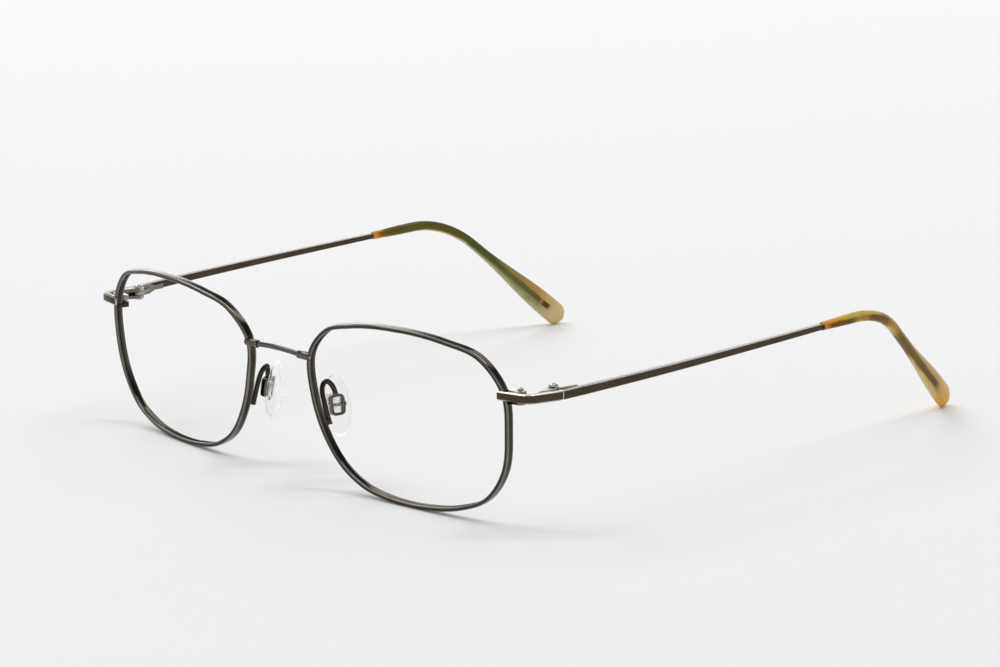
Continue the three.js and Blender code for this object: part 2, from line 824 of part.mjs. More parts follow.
function templeTip(route) {
  const { coreEnd, straightEnd } = route;
  const stops = [
    ...evenStops(tipSteps, templeShaft, straightEnd),
    ...evenStops(tipEndSteps, 0, quarterTurn * tipEndShare).slice(1)
      .map((angle) => straightEnd + tipEndRound * Math.sin(angle)),
  ];
  const body = sweep(regular(1, tipSides), stops, (distance) => (
    templeFrame(route, distance, tipSize(distance, straightEnd))
  ));
  const boreSize = [coreHeight + 2 * seatGap, coreThickness + 2 * seatGap];
  const bore = sweep(
    unitBar,
    evenStops(tipSteps, templeShaft - overrun, coreEnd + seatGap),
    (distance) => templeFrame(route, distance, boreSize),
  );
  return carve(body, bore);
}

const routes = {
  left: templeRoute(tipLeadLeft, tipBendLeft),
  right: templeRoute(tipLeadRight, tipBendRight),
};
for (const [side, route] of Object.entries(routes)) {
  addSide('temple', side, temple(route), finishes.satin, hingePlace);
  addSide('temple_tip', side, templeTip(route), finishes.acetate, hingePlace);
}

// Bridge: a thin arched wire between two sleeves that lap over the eyewires

const bridgePoint = eyewirePoint(bridgeShare);
const sleeveCentre = new THREE.Vector3(
  bridgePoint.x - sleeveInset,
  bridgePoint.y + sleeveBack,
  bridgePoint.z,
);
const sleevePlace = place(sleeveCentre);

function bridgeSleeve() {
  const length = sleeveLength;
  const dome = Array.from({ length: domeSteps }, (_, i) => {
    const angle = (i * quarterTurn) / domeSteps;
    return [sleeveRadius * Math.cos(angle), sleeveRadius * Math.sin(angle)];
  });
  const profile = [
    [0, -length],
    [sleeveRadius - sleeveLip, -length],
    [sleeveRadius, -length + sleeveLip],
    ...dome,
    [0, sleeveRadius],
  ];
  const body = turned(profile, sleeveSides).rotateY(quarterTurn);
  const boreRadius = bridgeWireRadius + seatGap;
  const bore = drill(boreRadius, -length - overrun, -length + sleeveBoreDepth, wireSides)
    .rotateY(quarterTurn);
  const reach = 2 * sleeveRadius + overrun;
  const free = moved(saddle(bridgeShare, reach, sleeveRadius), lensPlace, sleevePlace);
  return carve(body, free, bore);
}

addPair('bridge_sleeve', bridgeSleeve(), finishes.gunmetal, sleevePlace);

function bridgeBar() {
  const reach = sleeveCentre.x - sleeveLength + sleeveBoreDepth - seatGap;
  const mouth = sleeveCentre.x - sleeveLength;
  const points = evenStops(bridgeSteps, -1, 1).map((share) => {
    const x = share * reach;
    const rise = Math.max(0, 1 - (x / mouth) ** 2);
    return new THREE.Vector3(
      x,
      sleeveCentre.y - bridgeBow * rise,
      sleeveCentre.z + bridgeArch * rise,
    );
  });
  return wire(new THREE.CatmullRomCurve3(points), bridgeWireRadius, bridgeSteps * 2);
}

const bridge = new THREE.Mesh(closed(bridgeBar()), new THREE.MeshStandardMaterial(finishes.gunmetal));
bridge.name = 'bridge_bar';
bridge.geometry.computeVertexNormals();
frame.add(bridge);

// Nose pad arm: its foot lies on the eyewire's back, and it loops over to the box

const footPoint = eyewirePoint(padFootShare);
const armStart = new THREE.Vector3(
  footPoint.x - armFootLap,
  footPoint.y + wireDepth * Math.cos(lensTilt) + armFootGap + armRadius,
  footPoint.z,
);
const armPlace = place(armStart);
const armPoints = armShares.map(([inward, back, up]) => (
  new THREE.Vector3(-inward * armInward, back * armSetback, up * armHeight)
));

const padTurn = [0, -padSplay, -padFrontal];
const armEnd = armPoints.at(-1).clone().add(armStart);
const boxTop = place(armEnd, ...padTurn);
const boxCentre = new THREE.Vector3(0, 0, boxArmSink - boxHeight / 2)
  .applyMatrix4(boxTop.matrix);
const boxPlace = place(boxCentre, ...padTurn);

// The wire with the bead that brazes its foot, cut back from the eyewire and from the box.
function padArm() {
  const curve = new THREE.CatmullRomCurve3(armPoints, false, 'centripetal');
  const beadProfile = beadShares.map(([across, up]) => [across * beadRadius, up * beadLength]);
  const bead = turned(beadProfile, screwSides).rotateY(-armLean).translate(0, -beadSetback, 0);
  const free = moved(saddle(padFootShare, 2 * beadLength), lensPlace, armPlace);
  const side = boxWidth / 2 + seatGap;
  const top = boxHeight / 2 + seatGap;
  const box = moved(block(-side, side, -side, side, -top, top), boxPlace, armPlace);
  return carve(join(wire(curve, armRadius, armSteps), bead), free, box);
}

addPair('nose_pad_arm', padArm(), finishes.gunmetal, armPlace);

function padBox() {
  const ring = crosswise(
    roundedRectangle(boxWidth, boxHeight, boxRound), -boxDepth / 2, boxDepth / 2, wireLip,
  );
  const window = crosswise(
    roundedRectangle(boxWidth - 2 * boxWall, boxHeight - 2 * boxWall, boxRound - boxWall),
    -boxDepth / 2 - overrun,
    boxDepth / 2 + overrun,
  );
  const reach = boxWidth / 2 + overrun;
  const bore = drill(padScrewRadius + runningGap, -reach, reach).rotateX(quarterTurn);
  return carve(ring, window, bore);
}

addPair('nose_pad_box', padBox(), finishes.gunmetal, boxPlace);

// Nose pad, behind the box towards the nose, with the insert let into its back

const padFaceBack = -boxDepth / 2 - padBack;

// Moves a pad piece from the middle of the pad's back to the box's frame.
function onPad(geometry) {
  return geometry.translate(padFaceBack, padShiftBack, -padShiftDown);
}

function nosePad() {
  const body = turned(padProfileShares, padSides);
  const { position } = body.attributes;
  for (let i = 0; i < position.count; i += 1) {
    const [across, up, depth] = [position.getX(i), position.getY(i), position.getZ(i)];
    position.setXYZ(
      i,
      -depth * padThickness,
      across * (padWidth / 2) * (1 - padTaperShare * up),
      up * (padHeight / 2),
    );
  }
  const pocket = block(
    -insertThickness - seatGap, overrun,
    -insertWidth / 2 - seatGap - padShiftBack, insertWidth / 2 + seatGap - padShiftBack,
    -insertHeight / 2 - seatGap + padShiftDown, insertHeight / 2 + seatGap + padShiftDown,
  );
  return onPad(carve(body, pocket));
}

addPair('nose_pad', nosePad(), finishes.clear, boxPlace);

function padInsert() {
  const plate = crosswise(
    roundedRectangle(insertWidth, insertHeight, insertWidth * plateRoundShare), -insertThickness, 0,
  ).translate(padFaceBack, 0, 0);
  const lug = crosswise(
    roundedRectangle(lugWidth, lugHeight, lugWidth * plateRoundShare), -insertThickness / 2, lugReach,
  ).translate(padFaceBack, 0, 0);
  const reach = lugWidth + overrun;
  const bore = drill(padScrewRadius + runningGap, -reach, reach).rotateX(quarterTurn);
  return carve(join(plate, lug), bore);
}

addPair('nose_pad_insert', padInsert(), finishes.clear, boxPlace);

const padScrewSeat = boxWidth / 2 + seatGap / 2;
const padScrew = screw(padScrewRadius, 2 * padScrewSeat, padScrewHead, padScrewHeadHeight)
  .translate(0, 0, padScrewSeat)
  .rotateX(-quarterTurn);
addPair('nose_pad_screw', padScrew, finishes.steel, boxPlace);

// The origin is under the middle of the whole frame.
frame.updateMatrixWorld(true);
const extent = new THREE.Box3().setFromObject(frame, true);
frame.position.set(0, -(extent.min.y + extent.max.y) / 2, -extent.min.z);
frame.updateMatrixWorld(true);

export default frame;
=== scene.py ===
import json
import math

import bmesh
import bpy
import numpy as np
from mathutils import Matrix, Vector

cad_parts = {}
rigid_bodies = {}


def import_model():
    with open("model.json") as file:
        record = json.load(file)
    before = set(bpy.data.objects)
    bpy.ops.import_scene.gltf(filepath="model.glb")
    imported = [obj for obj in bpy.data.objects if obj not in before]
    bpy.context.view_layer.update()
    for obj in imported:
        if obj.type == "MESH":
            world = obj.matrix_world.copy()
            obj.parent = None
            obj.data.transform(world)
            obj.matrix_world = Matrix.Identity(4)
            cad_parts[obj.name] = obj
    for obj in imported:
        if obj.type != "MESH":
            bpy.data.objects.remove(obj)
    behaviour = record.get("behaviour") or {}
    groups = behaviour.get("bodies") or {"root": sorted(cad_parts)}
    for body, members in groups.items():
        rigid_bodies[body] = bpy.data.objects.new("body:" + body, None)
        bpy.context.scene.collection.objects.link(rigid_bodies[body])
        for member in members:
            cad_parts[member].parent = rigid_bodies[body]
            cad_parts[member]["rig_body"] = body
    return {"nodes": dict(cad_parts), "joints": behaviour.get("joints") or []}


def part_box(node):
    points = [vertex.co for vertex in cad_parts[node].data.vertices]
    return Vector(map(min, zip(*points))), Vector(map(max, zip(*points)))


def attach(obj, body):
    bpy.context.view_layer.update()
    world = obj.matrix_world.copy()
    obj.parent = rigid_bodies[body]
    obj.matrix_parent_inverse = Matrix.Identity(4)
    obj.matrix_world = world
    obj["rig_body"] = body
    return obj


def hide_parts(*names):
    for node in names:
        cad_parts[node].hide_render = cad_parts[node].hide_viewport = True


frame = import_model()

# A metal eyeglass frame without lenses: gunmetal eyewires, satin bars, marbled acetate tips.
# +Z is up, the front looks towards -Y and the wearer's left is +X. Shapes are drawn in millimetres
# for the wearer's left and mirrored for the right, and their meshes are then scaled to metres.

MM = 0.001
SIDES = ("left", "right")
BACK = np.array((0.0, 1.0, 0.0))
UP = np.array((0.0, 0.0, 1.0))
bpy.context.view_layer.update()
nodes = frame["nodes"]
joint_places = {joint["name"]: np.array(joint["pos_m"]) / MM for joint in frame["joints"]}

# Camera: its place from the front of the left eyewire, and the photograph's view

CAMERA_FROM_EYEWIRE = Vector((476.811, -397.945, 171.41)) * MM
CAMERA_RIGHT = Vector((0.69684501, 0.71721363, -0.00341198))
CAMERA_UP = Vector((-0.15706846, 0.15724606, 0.97498881))
LENS, SENSOR = 112.0, 36.0
CLIP_START, CLIP_END = 0.01, 20.0


def make_camera():
    data = bpy.data.cameras.new("camera")
    data.lens, data.sensor_width, data.sensor_fit = LENS, SENSOR, "HORIZONTAL"
    data.clip_start, data.clip_end = CLIP_START, CLIP_END
    camera = bpy.data.objects.new("camera", data)
    bpy.context.scene.collection.objects.link(camera)
    back = CAMERA_RIGHT.cross(CAMERA_UP)
    turn = Matrix((CAMERA_RIGHT, CAMERA_UP, back)).transposed().to_4x4()
    position = Vector((0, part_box("eyewire_left")[0][1], 0)) + CAMERA_FROM_EYEWIRE
    camera.matrix_world = Matrix.Translation(position) @ turn
    bpy.context.scene.camera = camera


make_camera()

# Material building

# The UV map of every piece, in millimetres along and around it
FLOW = "flow"


def map_range(tree, low, high, to_low, to_high, interpolation):
    """A node that maps a range of values on another."""
    node = tree.nodes.new("ShaderNodeMapRange")
    node.interpolation_type = interpolation
    ends = {"From Min": low, "From Max": high, "To Min": to_low, "To Max": to_high}
    for key, number in ends.items():
        node.inputs[key].default_value = number
    return node


class Nodes:
    """Builds one material's node tree around its Principled shader."""

    def __init__(self, name):
        self.material = bpy.data.materials.new(name)
        self.material.use_nodes = True
        self.tree = self.material.node_tree
        self.shader = self.tree.nodes["Principled BSDF"]

    def link(self, source, target):
        """Feeds a socket from another socket, or sets it to a plain value."""
        if isinstance(source, bpy.types.NodeSocket):
            self.tree.links.new(source, target)
        else:
            target.default_value = source

    def set(self, **values):
        for key, value in values.items():
            self.link(value, self.shader.inputs[key.replace("_", " ")])

    def coordinates(self, stretch, uv=None):
        """Object coordinates in millimetres, or a named UV map's, scaled by stretch."""
        if uv:
            source = self.tree.nodes.new("ShaderNodeUVMap")
            source.uv_map = uv
            output, scale = source.outputs["UV"], stretch
        else:
            source = self.tree.nodes.new("ShaderNodeTexCoord")
            output, scale = source.outputs["Object"], [value / MM for value in stretch]
        mapping = self.tree.nodes.new("ShaderNodeMapping")
        mapping.inputs["Scale"].default_value = scale
        self.link(output, mapping.inputs["Vector"])
        return mapping.outputs["Vector"]

    def noise(self, stretch, detail=2.0, distortion=0.0, uv=None):
        texture = self.tree.nodes.new("ShaderNodeTexNoise")
        texture.inputs["Scale"].default_value = 1
        texture.inputs["Detail"].default_value = detail
        texture.inputs["Distortion"].default_value = distortion
        self.link(self.coordinates(stretch, uv), texture.inputs["Vector"])
        return texture.outputs["Fac"]

    def attribute(self, name):
        node = self.tree.nodes.new("ShaderNodeAttribute")
        node.attribute_name = name
        return node.outputs["Fac"]

    def span(self, value, low, high, to_low=0.0, to_high=1.0, smooth=False):
        """A value's range mapped on another and held within it."""
        shape = "SMOOTHSTEP" if smooth else "LINEAR"
        node = map_range(self.tree, low, high, to_low, to_high, shape)
        self.link(value, node.inputs["Value"])
        return node.outputs["Result"]

    def maths(self, operation, first, second):
        node = self.tree.nodes.new("ShaderNodeMath")
        node.operation = operation
        self.link(first, node.inputs[0])
        self.link(second, node.inputs[1])
        return node.outputs["Value"]

    def total(self, *parts):
        """Adds up pairs of a value and its weight."""
        result = 0.0
        for value, weight in parts:
            result = self.maths("ADD", result, self.maths("MULTIPLY", value, weight))
        return result

    def mix(self, factor, first, second):
        node = self.tree.nodes.new("ShaderNodeMix")
        node.data_type = "RGBA"
        self.link(factor, node.inputs["Factor"])
        colours = [socket for socket in node.inputs if socket.type == "RGBA"]
        self.link(first, colours[0])
        self.link(second, colours[1])
        return next(socket for socket in node.outputs if socket.type == "RGBA")

    def ramp(self, factor, stops):
        node = self.tree.nodes.new("ShaderNodeValToRGB")
        band = node.color_ramp
        while len(band.elements) < len(stops):
            band.elements.new(0.5)
        for element, (at, value) in zip(band.elements, stops):
            element.position, element.color = at, value
        self.link(factor, node.inputs["Fac"])
        return node.outputs["Color"]

    def bump(self, height, strength, distance):
        node = self.tree.nodes.new("ShaderNodeBump")
        node.inputs["Strength"].default_value = strength
        node.inputs["Distance"].default_value = distance
        self.link(height, node.inputs["Height"])
        self.link(node.outputs["Normal"], self.shader.inputs["Normal"])


def colour(red, green, blue):
    """An sRGB colour of 0 to 255 as linear RGBA."""
    def linear(value):
        value /= 255
        return value / 12.92 if value <= 0.04045 else ((value + 0.055) / 1.055) ** 2.4
    return (linear(red), linear(green), linear(blue), 1)


# Plated metal: each noise's scales per millimetre, what it adds to lightness, roughness and relief,
# and the mean that the noises add to the roughness
STREAK_SCALES, SCUFF_SCALES = (0.3, 7, 1), (0.5, 16, 1)
TONE_SCALES, GRAIN_SCALES = (0.22, 0.22, 0.22), (9, 9, 9)
SCUFF_TWIST, SCUFF_RANGE = 0.4, (0.7, 0.74)
# The slow tone between these values sets how far edges go towards the bare colour, from this share of
# the finish's edges up to all of it. The lightening is partly wear and partly a painted highlight.
WEAR_AND_HIGHLIGHT_TONES, LEAST_WEAR_AND_HIGHLIGHT = (0.3, 0.7), 0.75
TONE_LIGHTNESS, SCUFF_LIGHTNESS = 0.3, 0.25
DARK_AT, LIGHT_AT = 0.1, 0.8
ROUGH_MEAN, STREAK_ROUGH, TONE_ROUGH, SCUFF_ROUGH = 0.1, 0.12, 0.08, 0.06
STREAK_RELIEF, GRAIN_RELIEF = 0.8, 0.2
PLATE_BUMP, PLATE_BUMP_DEPTH = 0.12, 0.012


def plated(name, dark, light, bare_and_highlight, rough, streaks, edges):
    """Plated metal: drawn streaks along the piece, a slow tone, hairline scuffs, and narrow edges
    lightened towards the bare colour, partly as wear and partly as a painted highlight.
    """
    make = Nodes(name)
    streak = make.noise(STREAK_SCALES, detail=3, uv=FLOW)
    tone = make.noise(TONE_SCALES)
    grain = make.noise(GRAIN_SCALES)
    scratches = make.noise(SCUFF_SCALES, detail=1, distortion=SCUFF_TWIST, uv=FLOW)
    scuff = make.span(scratches, *SCUFF_RANGE)
    # Narrow, sharply turned faces lightened towards the bare colour: partly wear, partly a painted
    # highlight on chamfers and rounded edges.
    wear_and_highlight = make.attribute("wear_and_highlight")
    worn_and_highlit = make.maths("MULTIPLY", wear_and_highlight, make.span(tone, *WEAR_AND_HIGHLIGHT_TONES, LEAST_WEAR_AND_HIGHLIGHT * edges, edges))
    lightness = make.total((streak, streaks), (tone, TONE_LIGHTNESS), (scuff, SCUFF_LIGHTNESS))
    plate = make.ramp(lightness, [(DARK_AT, dark), (LIGHT_AT, light)])
    roughness = make.total((1.0, rough - ROUGH_MEAN), (streak, STREAK_ROUGH), (tone, TONE_ROUGH),
                           (scuff, SCUFF_ROUGH))
    relief = make.total((streak, STREAK_RELIEF), (grain, GRAIN_RELIEF))
    make.set(Metallic=1.0, Base_Color=make.mix(worn_and_highlit, plate, bare_and_highlight), Roughness=roughness)
    make.bump(relief, PLATE_BUMP, PLATE_BUMP_DEPTH * MM)
    return make.material


# Cut acetate: each noise's scales per millimetre, how far it moves the bands along the tip, up it and
# off the core wire, and the heights between which the bands blend. The offsets take the noises' mean
# back out.
CLOUD_SCALES, FIBRE_SCALES = (0.16, 0.16, 0.16), (0.12, 2.2, 1)
VEIN_SCALES, DIMPLE_SCALES = (0.35, 0.16, 0.35), (0.9, 0.9, 0.9)
CLOUD_TWIST, VEIN_TWIST = 0.6, 0.5
CLOUD_ALONG, ALONG_OFFSET = 0.1, -0.05
CLOUD_HEIGHT, FIBRE_HEIGHT, HEIGHT_OFFSET = 0.7, 0.5, -0.6
CLOUD_RISE, RISE_OFFSET = 0.5, -0.35
UPPER_BLEND, EDGE_BLEND = (-0.45, 0.35), (-1.0, -0.5)
CORE_BLEND_SHARES = (0.7, 1.35)
VEIN_BLEND, VEIN_COLOUR = (0.48, 0.68), colour(66, 46, 10)
ACETATE_ROUGH, FIBRE_ROUGH = 0.1, 0.1
ACETATE_IOR, ACETATE_TRANSMISSION, ACETATE_SPECULAR = 1.49, 0.15, 0.08
DIMPLE_BUMP, DIMPLE_DEPTH = 0.08, 0.03


def grey(stops):
    """A ramp's stops from plain numbers."""
    return [(at, (value, value, value, 1)) for at, value in stops]


def acetate(name, upper, lower, edge, core, seen, drop, core_half, patches):
    """Cut acetate: an upper and a lower colour along the tip, the core wire seen through, marbling."""
    make = Nodes(name)
    cloud = make.noise(CLOUD_SCALES, detail=4, distortion=CLOUD_TWIST)
    fibre = make.noise(FIBRE_SCALES, detail=3, uv=FLOW)
    share = make.attribute("along")
    along = make.total((share, 1), (cloud, CLOUD_ALONG), (1.0, ALONG_OFFSET))
    height = make.total((make.attribute("height"), 1), (cloud, CLOUD_HEIGHT), (fibre, FIBRE_HEIGHT),
                        (1.0, HEIGHT_OFFSET))
    ground = make.mix(make.span(height, *UPPER_BLEND, smooth=True), make.ramp(along, lower),
                      make.ramp(along, upper))
    ground = make.mix(make.span(height, *EDGE_BLEND, 1, 0, smooth=True), ground,
                      make.ramp(along, edge))
    rise = make.total((make.attribute("rise"), 1), (cloud, CLOUD_RISE), (1.0, RISE_OFFSET),
                      (make.ramp(share, grey(drop)), 1))
    blend = (core_half * part for part in CORE_BLEND_SHARES)
    behind = make.span(make.maths("ABSOLUTE", rise, 0.0), *blend, 1, 0, smooth=True)
    ground = make.mix(make.maths("MULTIPLY", behind, make.ramp(share, grey(seen))), ground,
                      make.ramp(along, core))
    vein = make.noise(VEIN_SCALES, detail=3, distortion=VEIN_TWIST)
    dark = make.maths("MULTIPLY", make.span(vein, *VEIN_BLEND, smooth=True),
                      make.ramp(share, grey(patches)))
    make.set(Base_Color=make.mix(dark, ground, VEIN_COLOUR))
    make.set(Roughness=make.total((1.0, ACETATE_ROUGH), (fibre, FIBRE_ROUGH)))
    make.set(IOR=ACETATE_IOR, Transmission_Weight=ACETATE_TRANSMISSION,
             Specular_IOR_Level=ACETATE_SPECULAR)
    make.bump(make.noise(DIMPLE_SCALES), DIMPLE_BUMP, DIMPLE_DEPTH * MM)
    return make.material


# Clear plastics: the milkiness inside and the faint unevenness outside
MILK_SCALES, UNEVEN_SCALES = (0.5, 0.5, 0.5), (1.4, 1.4, 1.4)
MILK_RANGE, MILK_WHITE = (0.2, 0.8), colour(254, 254, 253)
ROUGHNESS_SPREAD = 0.08
MILK_SCATTER, MILK_DEPTH = 0.5, 1.0
UNEVEN_BUMP, UNEVEN_DEPTH = 0.1, 0.02


def clear(name, tint, rough, ior, haze):
    """Clear plastic or silicone: a little milky inside, its surface faintly uneven."""
    make = Nodes(name)
    cloud = make.noise(MILK_SCALES, detail=3)
    make.set(Base_Color=make.ramp(cloud, list(zip(MILK_RANGE, (tint, MILK_WHITE)))))
    make.set(Roughness=make.span(cloud, *MILK_RANGE, rough, rough + ROUGHNESS_SPREAD))
    make.set(IOR=ior, Transmission_Weight=1 - haze)
    make.set(Subsurface_Weight=MILK_SCATTER, Subsurface_Scale=MILK_DEPTH * MM)
    make.bump(make.noise(UNEVEN_SCALES), UNEVEN_BUMP, UNEVEN_DEPTH * MM)
    return make.material


# Bare nickel that worn edges show, also used to paint a highlight on narrow edges. Each finish's last
# number is how far its edges go towards it.
NICKEL_WEAR_AND_HIGHLIGHT = colour(214, 208, 198)
gunmetal = plated("gunmetal", colour(36, 33, 30), colour(92, 85, 77), NICKEL_WEAR_AND_HIGHLIGHT, 0.16, 0.4, 0.28)
polished = plated("polished", colour(56, 52, 47), colour(138, 131, 122), NICKEL_WEAR_AND_HIGHLIGHT, 0.12, 0.35, 0.45)
satin = plated("satin", colour(44, 39, 33), colour(90, 79, 65), NICKEL_WEAR_AND_HIGHLIGHT, 0.22, 0.6, 0.8)
satin_hinge = plated("satin_hinge", colour(104, 98, 90), colour(156, 150, 141), NICKEL_WEAR_AND_HIGHLIGHT, 0.24, 0.35, 0.5)
steel = plated("steel", colour(112, 108, 102), colour(206, 201, 194), NICKEL_WEAR_AND_HIGHLIGHT, 0.16, 0.3, 0.5)
silicone = clear("silicone", colour(252, 252, 253), 0.2, 1.2, 0.04)
hard_plastic = clear("hard_plastic", colour(238, 235, 226), 0.08, 1.4, 0.06)

AMBER, HONEY, CREAM = colour(234, 170, 44), colour(230, 182, 90), colour(226, 202, 144)
GOLD, STRAW, TAN = colour(188, 144, 36), colour(212, 190, 84), colour(198, 160, 84)
OCHRE, UMBER, BARK = colour(180, 136, 26), colour(110, 88, 0), colour(110, 64, 0)
MOSS, OLIVE, GREEN = colour(104, 100, 34), colour(98, 92, 34), colour(80, 88, 38)
KHAKI, SAGE = colour(154, 142, 82), colour(152, 154, 98)
LICHEN, PALE = colour(194, 196, 156), colour(224, 202, 146)
# Stops are shares of the way along the tip. seen is how much of the core wire's band shows there,
# drop how far it lies below the tip's middle, core_half half its height, both in millimetres, and
# patches is the strength of the veins.
tip_material = {
    "left": acetate(
        "acetate_amber",
        upper=[(0, AMBER), (0.06, AMBER), (0.12, STRAW), (0.26, STRAW), (0.32, GOLD), (0.5, GOLD),
               (0.62, TAN), (0.85, TAN), (0.94, HONEY)],
        lower=[(0, AMBER), (0.05, AMBER), (0.12, GOLD), (0.3, STRAW), (0.38, GOLD), (0.46, TAN),
               (0.88, TAN), (0.95, HONEY)],
        edge=[(0, AMBER), (0.2, STRAW), (0.36, STRAW), (0.43, PALE), (0.84, PALE), (0.93, HONEY)],
        core=[(0, BARK), (0.1, BARK), (0.15, UMBER), (0.19, OCHRE), (0.23, UMBER), (0.34, BARK),
              (0.39, OCHRE), (0.45, UMBER), (0.7, UMBER), (0.82, BARK)],
        seen=[(0, 1), (0.004, 0.8), (0.01, 0.1), (0.02, 0.5), (0.04, 0.95), (0.14, 0.9),
              (0.18, 0.5), (0.24, 1), (0.33, 0.8), (0.38, 0.2), (0.46, 0.9), (0.84, 1), (0.88, 0)],
        drop=[(0, 0.45), (0.34, 0.5), (0.5, 0.7), (0.84, 0.85)],
        core_half=0.75,
        patches=[(0, 0), (0.06, 0.2), (0.12, 0.8), (0.3, 0.6), (0.36, 0.1), (0.8, 0.1), (0.88, 0)],
    ),
    "right": acetate(
        "acetate_olive",
        upper=[(0, AMBER), (0.035, AMBER), (0.065, OLIVE), (0.6, OLIVE), (0.7, KHAKI),
               (0.84, TAN), (0.94, CREAM)],
        lower=[(0, AMBER), (0.04, AMBER), (0.08, OLIVE), (0.4, OLIVE), (0.5, SAGE), (0.86, SAGE),
               (0.93, CREAM)],
        edge=[(0, AMBER), (0.08, TAN), (0.2, CREAM), (0.4, CREAM), (0.5, LICHEN), (0.9, LICHEN),
              (0.95, CREAM)],
        core=[(0, OCHRE), (0.03, BARK), (0.06, OLIVE), (0.4, OLIVE), (0.5, GREEN), (0.8, MOSS),
              (0.87, BARK), (0.92, BARK)],
        seen=[(0, 0.2), (0.03, 0.8), (0.1, 1), (0.5, 1), (0.6, 0.8), (0.862, 0.9), (0.87, 0.3),
              (0.882, 1), (0.908, 1), (0.92, 0)],
        drop=[(0, 0), (0.5, 0.1), (0.9, 0.2)],
        core_half=0.66,
        patches=[(0, 0), (0.1, 0.2), (0.5, 0.25), (0.8, 0.15), (0.88, 0)],
    ),
}

finish_of = {
    "eyewire": ("gunmetal_wire", gunmetal), "bridge_bar": ("gunmetal_wire", polished),
    "bridge_sleeve": ("gunmetal_wire", polished), "nose_pad_arm": ("gunmetal_wire", gunmetal),
    "nose_pad_box": ("gunmetal_wire", gunmetal), "rim_lock_lower": ("gunmetal_wire", gunmetal),
    "endpiece": ("satin_bar", satin), "temple": ("satin_bar", satin),
    "hinge_fork": ("satin_bar", satin_hinge), "hinge_eye": ("satin_bar", satin_hinge),
    "rim_lock_upper": ("steel_fitting", steel), "rim_lock_screw": ("steel_fitting", steel),
    "hinge_screw": ("steel_fitting", steel), "nose_pad_screw": ("steel_fitting", steel),
    "temple_tip": ("tip_acetate", None), "nose_pad": ("pad_silicone", silicone),
    "nose_pad_insert": ("insert_plastic", hard_plastic),
}


def kind_of(name):
    return name.removesuffix("_left").removesuffix("_right")


def side_of(name):
    return "right" if name.endswith("_right") else "left"


def finish(name):
    slot, material = finish_of[kind_of(name)]
    return slot, material or tip_material[side_of(name)]


for name, node in nodes.items():
    for slot in node.material_slots:
        slot.material = finish(name)[1]

# Curves

HEADING_REACH = 0.05
SPAN_SAMPLES, EASE_STEPS = 60, 4


class Line:
    """A polyline with its length, places and headings by distance."""

    def __init__(self, points):
        self.points = np.array(points, float)
        steps = np.linalg.norm(np.diff(self.points, axis=0), axis=1)
        self.distances = np.concatenate(([0], np.cumsum(steps)))
        self.length = self.distances[-1]

    def at(self, distance):
        return np.array([np.interp(distance, self.distances, axis) for axis in self.points.T])

    def heading(self, distance):
        ahead = min(distance + HEADING_REACH, self.length)
        return unit(self.at(ahead) - self.at(max(distance - HEADING_REACH, 0)))


def unit(vector):
    return vector / np.linalg.norm(vector)


def smooth_line(points, closed=False):
    """A centripetal curve through the points, as a fine polyline."""
    points = [np.array(point, float) for point in points]
    if closed:
        ring = [points[-1], *points, points[0], points[1]]
    else:
        ring = [2 * points[0] - points[1], *points, 2 * points[-1] - points[-2]]
    fine = []
    for p0, p1, p2, p3 in zip(ring, ring[1:], ring[2:], ring[3:]):
        d0, d1, d2 = (math.sqrt(np.linalg.norm(b - a)) for a, b in ((p0, p1), (p1, p2), (p2, p3)))
        t1 = ((p1 - p0) / d0 - (p2 - p0) / (d0 + d1) + (p2 - p1) / d1) * d1
        t2 = ((p2 - p1) / d1 - (p3 - p1) / (d1 + d2) + (p3 - p2) / d2) * d1
        for t in np.arange(SPAN_SAMPLES) / SPAN_SAMPLES:
            curve = p1 + t1 * t + (3 * (p2 - p1) - 2 * t1 - t2) * t ** 2
            fine.append(curve + (2 * (p1 - p2) + t1 + t2) * t ** 3)
    fine.append(ring[-2])
    return Line(fine)


def eased(corners, steps=EASE_STEPS):
    """A closed outline whose corners (x, y, cut) or (x, y, cut in, cut out) are rounded off."""
    outline = []
    count = len(corners)
    for i, (x, y, *cuts) in enumerate(corners):
        here = np.array((x, y))
        before = np.array(corners[i - 1][:2])
        after = np.array(corners[(i + 1) % count][:2])
        start = here + unit(before - here) * cuts[0]
        end = here + unit(after - here) * cuts[-1]
        for t in np.arange(steps + 1) / steps:
            outline.append(start * (1 - t) ** 2 + 2 * here * t * (1 - t) + end * t ** 2)
    return np.array(outline)


def rounded_box(x, y, cut, steps=EASE_STEPS):
    """The outline of a box of half widths x and y, with its corners rounded off."""
    return eased([(x, -y, cut), (x, y, cut), (-x, y, cut), (-x, -y, cut)], steps)


def unit_circle(sides):
    angles = np.arange(sides) * 2 * math.pi / sides
    return np.stack((np.cos(angles), np.sin(angles)), axis=1)


# Meshes

MIRROR = Matrix.Diagonal((-1, 1, 1, 1))
SHARP_ANGLE = math.radians(34)
WELD = 0.0005
TURNED_SIDES = 40
# A narrow face is painted lighter, as wear and as a painted highlight, as it turns away from its
# neighbours between these angles. One with an edge over SHORT_EDGE is judged by its two longest edges
# only.
WEAR_AND_HIGHLIGHT_START, WEAR_AND_HIGHLIGHT_END = math.radians(9), math.radians(11)
SHORT_EDGE = 0.6
NARROW_FACE = 0.15


